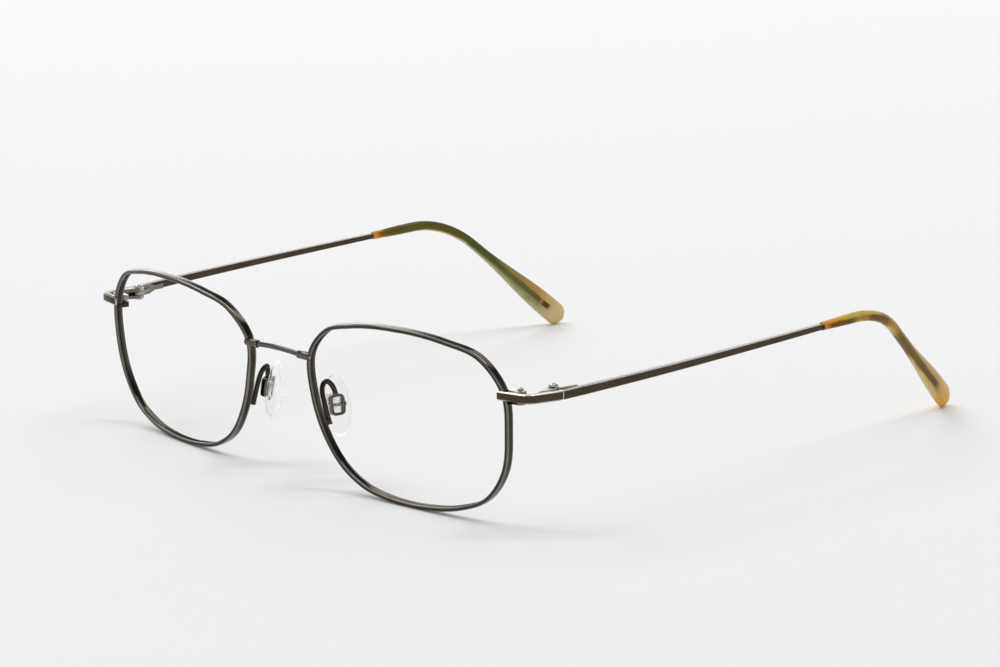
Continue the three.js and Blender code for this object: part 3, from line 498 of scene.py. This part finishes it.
def loft(rings, lengths, closed=False, values=None):
    """A mesh through rings of points, with a UV map of millimetres along and around."""
    rings = np.array(rings)
    count, sides, _ = rings.shape
    around = np.linalg.norm(np.roll(rings, -1, axis=1) - rings, axis=2).mean(axis=0)
    around = np.concatenate(([0], np.cumsum(around)))
    mesh = bmesh.new()
    flow = mesh.loops.layers.uv.new(FLOW)
    layers = {key: mesh.verts.layers.float.new(key) for key in values or {}}
    verts = [[mesh.verts.new(point) for point in ring] for ring in rings]
    for key, layer in layers.items():
        for i, ring in enumerate(verts):
            for k, vert in enumerate(ring):
                vert[layer] = values[key][i][k]
    for i in range(count if closed else count - 1):
        after = (i + 1) % count
        for k in range(sides):
            nearby = (k + 1) % sides
            face = mesh.faces.new(
                (verts[i][k], verts[i][nearby], verts[after][nearby], verts[after][k]))
            corners = ((i, k), (i, k + 1), (i + 1, k + 1), (i + 1, k))
            for loop, (step, turn) in zip(face.loops, corners):
                loop[flow].uv = (lengths[step], around[turn])
    if not closed:
        mesh.faces.new(verts[0][::-1])
        mesh.faces.new(verts[-1])
    return mesh


def turned(profile, sides=TURNED_SIDES):
    """A body turned about z from a profile of radii and heights, flat at both ends."""
    circle = unit_circle(sides)
    rings = [np.column_stack((circle * radius, np.full(sides, height))) for radius, height in profile]
    lengths = Line([(radius, height, 0) for radius, height in profile]).distances
    return loft(rings, lengths)


def sweep(section, line, distances, frame_at, closed=False):
    """A section carried along a line, in the frames that frame_at gives."""
    rings = []
    for distance in distances:
        origin, x_axis, y_axis = frame_at(line, distance)
        rings.append(origin + section[:, :1] * x_axis + section[:, 1:] * y_axis)
    lengths = [*distances, distances[-1] * 2 - distances[-2]]
    return loft(rings, lengths, closed)


def block(x0, x1, y0, y1, z0, z1):
    """A cutter with flat sides, between two limits on each axis."""
    mesh = bmesh.new()
    size = Matrix.Diagonal((x1 - x0, y1 - y0, z1 - z0, 1))
    middle = Vector(((x0 + x1) / 2, (y0 + y1) / 2, (z0 + z1) / 2))
    bmesh.ops.create_cube(mesh, size=1, matrix=Matrix.Translation(middle) @ size)
    return mesh


def combined(mesh, other, operation):
    """Two bmeshes cut or joined by Blender's exact boolean; both are used up."""
    objects = []
    for part in (mesh, other):
        data = bpy.data.meshes.new("part")
        bmesh.ops.recalc_face_normals(part, faces=part.faces)
        part.to_mesh(data)
        part.free()
        objects.append(bpy.data.objects.new("part", data))
        bpy.context.scene.collection.objects.link(objects[-1])
    body, tool = objects
    modifier = body.modifiers.new("combined", "BOOLEAN")
    modifier.operation, modifier.object, modifier.solver = operation, tool, "EXACT"
    result = evaluated(body)
    bpy.data.objects.remove(body)
    bpy.data.objects.remove(tool)
    return result


def evaluated(body):
    """A bmesh of an object with its modifiers applied."""
    bpy.context.view_layer.update()
    data = body.evaluated_get(bpy.context.evaluated_depsgraph_get()).to_mesh()
    mesh = bmesh.new()
    mesh.from_mesh(data)
    return mesh


def box_flow(mesh):
    """A UV map of millimetres for a piece that has none, laid on along each face's main axis."""
    flow = mesh.loops.layers.uv.new(FLOW)
    for face in mesh.faces:
        axis = max(range(3), key=lambda i: abs(face.normal[i]))
        across, up = [(1, 2), (0, 2), (0, 1)][axis]
        for loop in face.loops:
            loop[flow].uv = (loop.vert.co[across], loop.vert.co[up])


def mark_wear_and_highlight(mesh, narrow_face):
    """Notes from 0 to 1 how sharply the surface turns across narrow faces, which are painted lighter,
    partly as wear and partly as a painted highlight.
    """
    layer = mesh.loops.layers.float.new("wear_and_highlight")
    for face in mesh.faces:
        width = 2 * face.calc_area() / max(face.calc_perimeter(), WELD)
        edges = sorted(face.edges, key=lambda edge: edge.calc_length())
        if edges[-1].calc_length() > SHORT_EDGE:
            edges = edges[-2:]
        turn = max(edge.calc_face_angle_signed(0) if edge.is_manifold else 0 for edge in edges)
        share = (turn - WEAR_AND_HIGHLIGHT_START) / (WEAR_AND_HIGHLIGHT_END - WEAR_AND_HIGHLIGHT_START) if width < narrow_face else 0
        for loop in face.loops:
            loop[layer] = min(1, max(0, share))


def add_piece(node, mesh, matrix=None, narrow_face=NARROW_FACE):
    """Puts a bmesh, drawn for the left, in a node's place, mirrored for a right node."""
    if matrix is not None:
        mesh.transform(matrix)
    if side_of(node) == "right":
        mesh.transform(MIRROR)
    bmesh.ops.recalc_face_normals(mesh, faces=mesh.faces)
    mark_wear_and_highlight(mesh, narrow_face)
    mesh.transform(Matrix.Scale(MM, 4))
    for face in mesh.faces:
        face.smooth = True
    data = bpy.data.meshes.new(f"{node}_finished")
    mesh.to_mesh(data)
    mesh.free()
    data.set_sharp_from_angle(angle=SHARP_ANGLE)
    piece = bpy.data.objects.new(f"{node}_finished", data)
    bpy.context.scene.collection.objects.link(piece)
    slot, material = finish(node)
    data.materials.append(material)
    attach(piece, nodes[node]["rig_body"])
    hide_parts(node)


def add_pair(kind, mesh, matrix=None, narrow_face=NARROW_FACE):
    for side in SIDES:
        add_piece(f"{kind}_{side}", mesh.copy(), matrix, narrow_face)
    mesh.free()


def place(position, splay=0.0, turn=0.0, tilt=0.0):
    about_x, about_y = Matrix.Rotation(tilt, 4, "X"), Matrix.Rotation(splay, 4, "Y")
    rotation = about_x @ about_y @ Matrix.Rotation(turn, 4, "Z")
    return Matrix.Translation(Vector(position)) @ rotation


# Eyewires: a grooved wire swept round the lens opening, in its own tilted plane

EYEWIRE_WIDTH, EYEWIRE_HEIGHT = 52.4, 36.5
LENS_CURVE = 96.0
WIRE_DEPTH, WIRE_WALL = 1.8, 0.9
WIRE_ROUND, WIRE_ROUND_DEPTH, WIRE_LIP = 0.24, 0.38, 0.18
GROOVE_WIDTH, GROOVE_DEPTH, GROOVE_ROUND = 1.0, 0.4, 0.12
CLOSING_GAP = 0.2
LOCK_RISE = 7.6
LENS_CENTRE = (35.9, -72.9805, 18.5857)
LENS_TILT, FACE_WRAP = math.radians(5.3), math.radians(5.7)
EYEWIRE_STEPS = 420
OUTLINE_SHARES = (
    (0.99, 0), (0.971, 0.452), (0.771, 0.803), (0.472, 0.931), (0.222, 0.981),
    (0, 0.99), (-0.222, 0.978), (-0.47, 0.928), (-0.77, 0.803), (-0.988, 0.46),
    (-0.967, 0), (-0.864, -0.403), (-0.696, -0.725), (-0.466, -0.919), (-0.224, -0.988),
    (0, -1.009), (0.226, -0.997), (0.478, -0.944), (0.753, -0.785), (0.934, -0.435),
)
lens_place = place(LENS_CENTRE, turn=FACE_WRAP, tilt=LENS_TILT)


def lens_point(across, up):
    x, z = across * EYEWIRE_WIDTH / 2, up * EYEWIRE_HEIGHT / 2
    return (x, (x * x + z * z) / (2 * LENS_CURVE), z)


def eyewire_frame(line, distance):
    around = distance % line.length
    along = line.heading(around) * (1, 0, 1)
    return line.at(around), unit(np.cross(BACK, along)), BACK


def eyewire():
    line = smooth_line([lens_point(*share) for share in OUTLINE_SHARES], closed=True)
    start = next(
        distance for point, distance in zip(line.points, line.distances) if point[2] >= LOCK_RISE
    )
    side, middle, half = WIRE_WALL / 2, WIRE_DEPTH / 2, GROOVE_WIDTH / 2
    section = eased([
        (-side, 0, WIRE_LIP), (side, 0, WIRE_ROUND, WIRE_ROUND_DEPTH),
        (side, WIRE_DEPTH, WIRE_ROUND_DEPTH, WIRE_ROUND), (-side, WIRE_DEPTH, WIRE_LIP),
        (-side, middle + half, GROOVE_ROUND), (-side + GROOVE_DEPTH, middle, GROOVE_ROUND),
        (-side, middle - half, GROOVE_ROUND),
    ])
    span = line.length - CLOSING_GAP
    distances = start + CLOSING_GAP / 2 + span * np.arange(EYEWIRE_STEPS + 1) / EYEWIRE_STEPS
    return sweep(section, line, distances, eyewire_frame)


add_pair("eyewire", eyewire(), lens_place)

# Temples and tips, along a line from the joint to the tip's end, in the hinge's frame

HINGE_REACH, HINGE_SETBACK = 1.9, 0.45
ENDPIECE_THICKNESS, ENDPIECE_SIDE_ANGLE = 1.3, math.radians(81)
TEMPLE_SHAFT = 74.7
TEMPLE_FLARE, TEMPLE_RISE = math.radians(5.3), math.radians(1.5)
BAR_SIZE, BAR_SIZE_AT_TIP = np.array((1.84, 1.3)), np.array((1.26, 1.1))
CORE_SIZE, CORE_SHORT = np.array((0.95, 0.85)), 5.5
CORE_NOTCH, CORE_NOTCH_LENGTH, CORE_NOTCH_SHARE = 1.5, 0.35, 0.6
# From the bar's last ring to the core's first, which makes the shoulder that the tip seats on
SHOULDER = 0.01
# The bar's and the core's corner cuts in half widths, and the bevel round the bar's front end
BAR_CORNER, CORE_CORNER = 0.13, 0.32
BAR_END_EDGE = 0.14
BAR_NARROW_FACE = 0.2
SEAT_GAP = 0.1
TIP_LEAD = {"left": 10.3, "right": 13.0}
TIP_BEND = {"left": math.radians(37.6), "right": math.radians(42.1)}
TIP_BEND_RADIUS, TIP_INWARD = 27.0, math.radians(15.6)
MOUTH_SIZE, NECK_SIZE = np.array((1.85, 1.75)), np.array((2.38, 2.3))
PADDLE_SIZE = np.array((5.64, 2.7))
NECK_AT, PADDLE_RUN, END_ROUND = 9.0, 31.5, 2.7
OVAL_SCALE = np.array((0.985, 0.965))
MOUTH_EASE, MOUTH_SHARES = 0.16, (0.0, 0.3, 0.7)
BORE_SQUARENESS = 4
BORE_SINK = 0.02
WALK_STEPS = 100
BAR_STEP, TIP_STEP = 1.2, 0.8
END_RINGS, LAST_RING = 14, 0.97
TIP_SIDES = 36
hinge_centre = joint_places["left_temple_fold"]
joint_height = hinge_centre[2]
temple_start = np.array((
    ENDPIECE_THICKNESS / math.sin(ENDPIECE_SIDE_ANGLE) + HINGE_REACH - ENDPIECE_THICKNESS / 2,
    -HINGE_SETBACK,
    0,
))


def temple_heading(distance, bend_start, bend):
    shaft = min(1, distance / TEMPLE_SHAFT)
    bent = min(1, max(0, (distance - bend_start) / TIP_BEND_RADIUS / bend))
    yaw = TIP_INWARD * bent - TEMPLE_FLARE * (1 - shaft) ** 2
    pitch = TEMPLE_RISE - bend * bent
    return np.array((
        -math.sin(yaw) * math.cos(pitch), math.cos(yaw) * math.cos(pitch), math.sin(pitch),
    ))


def temple_walk(length, bend_start, bend):
    points = [temple_start]
    step = length / WALK_STEPS
    for i in range(WALK_STEPS):
        points.append(points[-1] + step * temple_heading((i + 0.5) * step, bend_start, bend))
    return points


class Route:
    """One temple's line, with where its tip's straight end and its core stop."""

    def __init__(self, side):
        bend = TIP_BEND[side]
        start = TEMPLE_SHAFT + TIP_LEAD[side]
        bend_end = start + TIP_BEND_RADIUS * bend
        height = temple_walk(bend_end, start, bend)[-1][2] + joint_height
        fall = bend - TEMPLE_RISE
        drop = math.hypot(END_ROUND * math.sin(fall), PADDLE_SIZE[0] / 2 * math.cos(fall))
        self.straight_end = bend_end + (height - drop) / math.sin(fall)
        self.length = self.straight_end + END_ROUND
        self.core_end = self.length - CORE_SHORT
        self.line = smooth_line(temple_walk(self.length, start, bend))

    def frame(self, distance):
        """The middle, the way up and the way out of the section at a distance."""
        along = self.line.heading(distance)
        outward = unit(np.cross(along, UP))
        return self.line.at(distance), np.cross(outward, along), outward

    def ring(self, section, distance, size):
        origin, up, outward = self.frame(distance)
        return origin + section[:, :1] * up * size[0] / 2 + section[:, 1:] * outward * size[1] / 2


def spaced(start, end, step):
    return np.linspace(start, end, max(2, math.ceil((end - start) / step)))


def temple(route):
    """The bar from its bevelled front end, and the core wire with its notch inside the tip."""
    core_start = TEMPLE_SHAFT - SEAT_GAP
    notch = route.core_end - CORE_NOTCH
    half, full = CORE_NOTCH_LENGTH / 2, CORE_NOTCH_LENGTH
    bar = [(d, BAR_SIZE + (BAR_SIZE_AT_TIP - BAR_SIZE) * d / core_start)
           for d in spaced(0, core_start, BAR_STEP)]
    core = [(d, CORE_SIZE) for d in spaced(core_start + SHOULDER, notch - full, BAR_STEP)]
    notched = CORE_SIZE * CORE_NOTCH_SHARE
    end = [(notch - half, notched), (notch + half, notched), (notch + full, CORE_SIZE),
           (route.core_end, CORE_SIZE)]
    section, core_section = rounded_box(1, 1, BAR_CORNER), rounded_box(1, 1, CORE_CORNER)
    rings = [route.ring(section, distance, size) for distance, size in bar]
    rings += [route.ring(core_section, distance, size) for distance, size in core + end]
    front = []
    for inset, distance in ((BAR_END_EDGE, 0), (0, BAR_END_EDGE)):
        tall, wide = BAR_SIZE / 2 - inset
        square = np.column_stack((section[:, 1] * wide, np.full(len(section), distance),
                                  section[:, 0] * tall))
        front.append(temple_start + square)
    distances = [0, BAR_END_EDGE] + [distance for distance, _ in (bar + core + end)[1:]]
    return loft(front + rings[1:], distances)


def smoother(value):
    value = min(1, max(0, value))
    return value ** 3 * (value * (value * 6 - 15) + 10)


def tip_size(distance, straight_end):
    neck = min(1, (distance - TEMPLE_SHAFT) / NECK_AT)
    paddle = smoother((distance - straight_end + PADDLE_RUN) / PADDLE_RUN)
    past = max(0, distance - straight_end) / END_ROUND
    rounding = math.sqrt(max(0, 1 - past * past))
    narrow = MOUTH_SIZE + (NECK_SIZE - MOUTH_SIZE) * neck
    size = narrow + (PADDLE_SIZE - narrow) * paddle
    return size * (rounding, math.sqrt(rounding)) * OVAL_SCALE


def temple_tip(route):
    """One skin: up the bore from its deep end to the mouth, and back along the outside."""
    section = unit_circle(TIP_SIDES)
    angles = np.arctan2(section[:, 1], section[:, 0])
    spread = sum(np.abs(part) ** BORE_SQUARENESS for part in (np.cos(angles), np.sin(angles)))
    squarish = section / spread[:, None] ** (1 / BORE_SQUARENESS)
    rings, along, heights = [], [], []
    for distance in spaced(TEMPLE_SHAFT, route.core_end - BORE_SINK, TIP_STEP)[::-1]:
        rings.append(route.ring(squarish, distance, CORE_SIZE - 2 * BORE_SINK))
        along.append(distance)
        heights.append(CORE_SIZE[0])
    for share in MOUTH_SHARES:
        size = tip_size(TEMPLE_SHAFT, route.straight_end) - 2 * MOUTH_EASE * (1 - share)
        rings.append(route.ring(section, TEMPLE_SHAFT + MOUTH_EASE * share ** 2, size))
        along.append(TEMPLE_SHAFT)
        heights.append(size[0])
    round_end = route.straight_end + END_ROUND * np.sin(
        np.linspace(0, math.pi / 2 * LAST_RING, END_RINGS)[1:])
    outer = [*spaced(TEMPLE_SHAFT + MOUTH_EASE, route.straight_end, TIP_STEP), *round_end]
    for distance in outer:
        size = tip_size(distance, route.straight_end)
        rings.append(route.ring(section, distance, size))
        along.append(distance)
        heights.append(size[0])
    run = route.length - TEMPLE_SHAFT
    values = {
        "along": [[(distance - TEMPLE_SHAFT) / run] * TIP_SIDES for distance in along],
        "height": [section[:, 0]] * len(rings),
        "rise": [section[:, 0] * height / 2 for height in heights],
    }
    return loft(rings, along, values=values)


for side in SIDES:
    route = Route(side)
    add_piece(f"temple_{side}", temple(route), place(hinge_centre), BAR_NARROW_FACE)
    add_piece(f"temple_tip_{side}", temple_tip(route), place(hinge_centre))

# Bridge bar, a thin arched wire

BRIDGE_RADIUS, BRIDGE_ARCH, BRIDGE_BOW = 0.55, 0.33, 0.15
SLEEVE_BORE = 1.6
BRIDGE_STEPS, WIRE_SIDES = 60, 24


def wire_rings(line, radius, distances, start_up=UP):
    """Rings of a round wire whose section turns as little as the line allows."""
    circle = unit_circle(WIRE_SIDES) * radius
    side = start_up
    rings = []
    for distance in distances:
        along = line.heading(distance)
        side = unit(side - along * np.dot(side, along))
        other = np.cross(along, side)
        rings.append(line.at(distance) + circle[:, :1] * side + circle[:, 1:] * other)
    return rings


def bridge_bar():
    low, high = (np.array(corner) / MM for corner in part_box("bridge_sleeve_left"))
    mouth = low[0]
    middle = (low + high) / 2
    reach = mouth + SLEEVE_BORE - SEAT_GAP
    points = []
    for share in np.linspace(-1, 1, BRIDGE_STEPS + 1):
        rise = max(0, 1 - (share * reach / mouth) ** 2)
        points.append((share * reach, middle[1] - BRIDGE_BOW * rise, middle[2] + BRIDGE_ARCH * rise))
    line = Line(points)
    distances = np.linspace(0, line.length, BRIDGE_STEPS + 1)
    return loft(wire_rings(line, BRIDGE_RADIUS, distances), distances)


add_piece("bridge_bar", bridge_bar(), narrow_face=0)

# Nose pad arms: a gooseneck wire with the bead that brazes its foot

ARM_RADIUS, ARM_STEPS = 0.54, 110
ARM_SIZE = np.array((-2.8, 2.9, 8.3))
ARM_SHARES = (
    (0, 0, 0), (0.34, -0.05, 0.3), (0.59, -0.04, 0.547), (0.79, -0.02, 0.724), (0.93, 0.1, 0.882),
    (0.99, 0.32, 0.976), (0.95, 0.57, 1), (0.8, 0.77, 0.935), (0.64, 0.9, 0.829), (0.5, 1, 0.645),
)
ARM_LEAN = math.radians(20)
BEAD_RADIUS, BEAD_LENGTH, BEAD_SETBACK = 0.7, 1.7, 0.35
BEAD_SHARES = (
    (0.2, 0), (0.6, 0.02), (0.85, 0.1), (1, 0.28), (1, 0.6), (0.88, 0.82), (0.65, 0.97), (0.2, 1),
)
BOX_SIZE = (3.25, 4.45)
BOX_DEPTH, BOX_WALL, BOX_ROUND, BOX_SINK = 1.2, 0.62, 1.2, 0.3
BOX_EDGE, BOX_CORNER_STEPS = 0.17, 12
# How far either way the ring's heading is taken
BOX_REACH = 0.031
PAD_FRONTAL, PAD_SPLAY = math.radians(18), math.radians(9)
box_place = place(joint_places["left_nose_pad_rock"], splay=-PAD_SPLAY, turn=-PAD_FRONTAL)
box_top = np.array(box_place @ Vector((0, 0, BOX_SIZE[1] / 2 - BOX_SINK)))
arm_start = box_top - np.array(ARM_SHARES[-1]) * ARM_SIZE


def pad_arm():
    line = smooth_line([arm_start + np.array(share) * ARM_SIZE for share in ARM_SHARES])
    distances = np.linspace(0, line.length, ARM_STEPS)
    wire = loft(wire_rings(line, ARM_RADIUS, distances, BACK), distances)
    bead = turned([(across * BEAD_RADIUS, up * BEAD_LENGTH) for across, up in BEAD_SHARES], WIRE_SIDES)
    bead.transform(place(arm_start - BACK * BEAD_SETBACK, splay=-ARM_LEAN))
    return combined(wire, bead, "UNION")


add_pair("nose_pad_arm", pad_arm(), narrow_face=0)


def pad_box():
    """A ring of rounded section round the lug's window."""
    width, height = (size / 2 - BOX_WALL / 2 for size in BOX_SIZE)
    cut = BOX_ROUND - BOX_WALL / 2
    path = rounded_box(width, height, cut, BOX_CORNER_STEPS)
    line = Line([(0, across, up) for across, up in [*path, path[0]]])
    section = rounded_box(BOX_WALL / 2, BOX_DEPTH / 2, BOX_EDGE)

    def frame_at(line, distance):
        ahead = line.at((distance + BOX_REACH) % line.length)
        behind = line.at((distance - BOX_REACH) % line.length)
        return line.at(distance), np.cross(unit(ahead - behind), (1, 0, 0)), np.array((1, 0, 0))

    return sweep(section, line, list(line.distances[:-1]), frame_at, closed=True)


add_pair("nose_pad_box", pad_box(), box_place)

# Nose pads with a pocket in their back for the insert

PAD_SIZE, PAD_THICKNESS, PAD_TAPER = (6.3, 12.6), 1.7, 0.1
PAD_BACK, PAD_SHIFT_BACK, PAD_SHIFT_DOWN = 0.52, 0.5, 0.42
INSERT_SIZE, INSERT_THICKNESS = (2.6, 4.6), 0.6
PAD_SHARES = (
    (0.1, 0), (0.68, 0), (0.88, 0.07), (0.97, 0.18), (1, 0.36), (0.95, 0.6), (0.8, 0.82),
    (0.45, 0.96), (0.06, 1),
)
PAD_SIDES, PAD_RINGS = 72, 44
OVERRUN = 1.0


def nose_pad():
    line = smooth_line([(across, depth, 0) for across, depth in PAD_SHARES])
    rings = []
    distances = np.linspace(0, line.length, PAD_RINGS)
    for distance in distances:
        reach, depth, _ = line.at(distance)
        across, up = (unit_circle(PAD_SIDES) * min(reach, 1)).T
        rings.append(np.column_stack((
            np.full(PAD_SIDES, -depth * PAD_THICKNESS),
            across * PAD_SIZE[0] / 2 * (1 - PAD_TAPER * up),
            up * PAD_SIZE[1] / 2,
        )))
    body = loft(rings, distances)
    width, height = (size / 2 + SEAT_GAP for size in INSERT_SIZE)
    pocket = block(
        -INSERT_THICKNESS - SEAT_GAP, OVERRUN,
        -width - PAD_SHIFT_BACK, width - PAD_SHIFT_BACK,
        -height + PAD_SHIFT_DOWN, height + PAD_SHIFT_DOWN,
    )
    pad = combined(body, pocket, "DIFFERENCE")
    offset = Vector((-BOX_DEPTH / 2 - PAD_BACK, PAD_SHIFT_BACK, -PAD_SHIFT_DOWN))
    pad.transform(Matrix.Translation(offset))
    return pad


add_pair("nose_pad", nose_pad(), box_place)

# Screws: a shank, a domed head on top and a slot across it

SLOT_WIDTH, SLOT_DEPTH_SHARE = 0.24, 0.5
SHANK_SHARES = ((0.8, 1), (1, 0.96), (1, 0))
HEAD_SHARES = (
    (0.94, 0), (1, 0.08), (1, 0.36), (0.95, 0.56), (0.84, 0.74), (0.66, 0.88), (0.42, 0.97),
    (0.12, 1),
)
# Each screw's shank radius, head radius and head height
LOCK_SCREW, HINGE_SCREW, PAD_SCREW = (0.42, 0.64, 0.45), (0.45, 0.95, 0.6), (0.32, 0.6, 0.35)


def screw(sizes, shank_length, seat):
    shank_radius, head_radius, head_height = sizes
    profile = [(across * shank_radius, -down * shank_length) for across, down in SHANK_SHARES]
    profile += [(across * head_radius, up * head_height) for across, up in HEAD_SHARES]
    body = turned(profile)
    bottom, side = head_height * (1 - SLOT_DEPTH_SHARE), head_radius + OVERRUN
    half = SLOT_WIDTH / 2
    slot = block(-side, side, -half, half, bottom, head_height + OVERRUN)
    result = combined(body, slot, "DIFFERENCE")
    result.transform(Matrix.Translation((0, 0, seat)))
    return result


ENDPIECE_FRONT_ANGLE = math.radians(13.5)
HINGE_HEIGHT, BOSS_HEIGHT = 2.3, 0.3
LOCK_UPPER, LOCK_LOWER, LOCK_EDGE = 1.3, 1.5, 0.12
low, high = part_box("rim_lock_screw_left")
lock_middle = (low + high) / (2 * MM)
lock_seat, hinge_seat = LOCK_UPPER + SEAT_GAP / 2, HINGE_HEIGHT / 2 + SEAT_GAP / 2
lock_screw = screw(LOCK_SCREW, lock_seat + LOCK_LOWER - LOCK_EDGE, lock_seat)
hinge_screw = screw(HINGE_SCREW, hinge_seat + HINGE_HEIGHT / 2 + BOSS_HEIGHT, hinge_seat)
pad_seat = BOX_SIZE[0] / 2 + SEAT_GAP / 2
pad_screw = screw(PAD_SCREW, 2 * pad_seat, pad_seat)
pad_screw.transform(Matrix.Rotation(-math.pi / 2, 4, "X"))
lock_place = place((lock_middle[0], lock_middle[1], joint_height), turn=ENDPIECE_FRONT_ANGLE)
add_pair("rim_lock_screw", lock_screw, lock_place)
add_pair("hinge_screw", hinge_screw, place(hinge_centre))
add_pair("nose_pad_screw", pad_screw, box_place)

# Pieces that keep their solid's shape, with their corners rounded over

FLAT_ANGLE = math.radians(1.5)
CORNER_ANGLE = math.radians(28)
CORNER_SEGMENTS = 2
# Each kind's rounding, how wide a face may be that is still painted lighter, as wear and as a painted
# highlight, and how far apart points are welded. The hinge eye's solid has edges of 0.001 mm, which
# would leave slivers.
ROUNDED = {
    "endpiece": (0.08, 0.46, WELD),
    "rim_lock_upper": (0.05, 0.46, WELD),
    "rim_lock_lower": (0.05, 0.46, WELD),
    "hinge_fork": (0.06, 0.3, WELD),
    "hinge_eye": (0.05, 0.3, 0.003),
    "bridge_sleeve": (0.05, 0.12, WELD),
    "nose_pad_insert": (0.06, 0, WELD),
}


def rounded(node, width, weld):
    """A node's solid in millimetres, brought to the left, with its corners rounded over."""
    body = nodes[node].copy()
    body.data = nodes[node].data.copy()
    body.parent = None
    body.hide_viewport = False
    bpy.context.scene.collection.objects.link(body)
    mesh = bmesh.new()
    mesh.from_mesh(body.data)
    mesh.transform(Matrix.Scale(1 / MM, 4))
    bmesh.ops.remove_doubles(mesh, verts=mesh.verts, dist=weld)
    bmesh.ops.dissolve_limit(mesh, angle_limit=FLAT_ANGLE, verts=mesh.verts, edges=mesh.edges)
    mesh.to_mesh(body.data)
    mesh.free()
    modifier = body.modifiers.new("corners", "BEVEL")
    modifier.width, modifier.segments = width, CORNER_SEGMENTS
    modifier.limit_method, modifier.angle_limit = "ANGLE", CORNER_ANGLE
    modifier.use_clamp_overlap = True
    result = evaluated(body)
    bpy.data.objects.remove(body)
    box_flow(result)
    if side_of(node) == "right":
        result.transform(MIRROR)
    return result


for kind, (width, narrow_face, weld) in ROUNDED.items():
    for side in SIDES:
        node = f"{kind}_{side}"
        add_piece(node, rounded(node, width, weld), narrow_face=narrow_face)

# Stage: a pale floor and soft lamps

FLOOR_SIZE = 4.0
FLOOR_ALBEDO, FLOOR_BLUE, FLOOR_ROUGHNESS = 0.905, 1.006, 0.8
# The world is a soft tent: brightest at the horizon, dimming until a direction rises by ZENITH_FROM
ZENITH, HORIZON, ZENITH_FROM = 0.16, 1.05, 0.75
LAMP_DISTANCE = 6.0
# Each soft box: the way to it, the way along its length, its length and width in metres, its radiance
SOFT_BOXES = {
    "soft_box_left": ((-0.62, -0.02, 0.72), (0, 1, 0), 5.0, 2.0, 2.8),
    "soft_box_back": ((-0.05, 0.63, 0.77), (1, 0, 0), 3.8, 1.7, 2.2),
    "soft_box_above": ((-0.113, 0.063, 0.99), (0.67, 0.74, 0), 8.8, 1.3, 4.8),
    "soft_box_low": ((-0.7, 0.66, 0.3), (0.7, 0.7, 0), 5.0, 2.2, 1.5),
}


def make_stage():
    mesh = bpy.data.meshes.new("floor")
    corners = [(-1, -1), (1, -1), (1, 1), (-1, 1)]
    mesh.from_pydata([(x * FLOOR_SIZE, y * FLOOR_SIZE, 0) for x, y in corners], [], [(0, 1, 2, 3)])
    floor = bpy.data.objects.new("floor", mesh)
    make = Nodes("floor")
    pale = (FLOOR_ALBEDO, FLOOR_ALBEDO, FLOOR_ALBEDO * FLOOR_BLUE, 1)
    make.set(Base_Color=pale, Roughness=FLOOR_ROUGHNESS)
    mesh.materials.append(make.material)
    bpy.context.scene.collection.objects.link(floor)


def make_world():
    world = bpy.data.worlds.new("studio")
    world.use_nodes = True
    tree = world.node_tree
    direction = tree.nodes.new("ShaderNodeTexCoord").outputs["Generated"]
    parts = tree.nodes.new("ShaderNodeSeparateXYZ")
    level = map_range(tree, 0, ZENITH_FROM, HORIZON, ZENITH, "SMOOTHERSTEP")
    tree.links.new(direction, parts.inputs["Vector"])
    tree.links.new(parts.outputs["Z"], level.inputs["Value"])
    tree.links.new(level.outputs["Result"], tree.nodes["Background"].inputs["Strength"])
    tree.nodes["Background"].inputs["Color"].default_value = (1, 1, 1, 1)
    bpy.context.scene.world = world


def make_lamp(name, direction, lengthwise, length, width, radiance):
    """A long soft box that faces the object, its length along the given direction."""
    toward = -Vector(direction).normalized()
    side = Vector(lengthwise)
    side = (side - toward * side.dot(toward)).normalized()
    turn = Matrix((side, side.cross(toward), -toward)).transposed()
    data = bpy.data.lights.new(name, "AREA")
    data.shape, data.size, data.size_y = "RECTANGLE", length, width
    data.energy = radiance * math.pi * length * width
    lamp = bpy.data.objects.new(name, data)
    lamp.matrix_world = Matrix.Translation(-toward * LAMP_DISTANCE) @ turn.to_4x4()
    bpy.context.scene.collection.objects.link(lamp)


make_stage()
make_world()
for name, settings in SOFT_BOXES.items():
    make_lamp(name, *settings)

bpy.context.scene.view_settings.view_transform = "Standard"
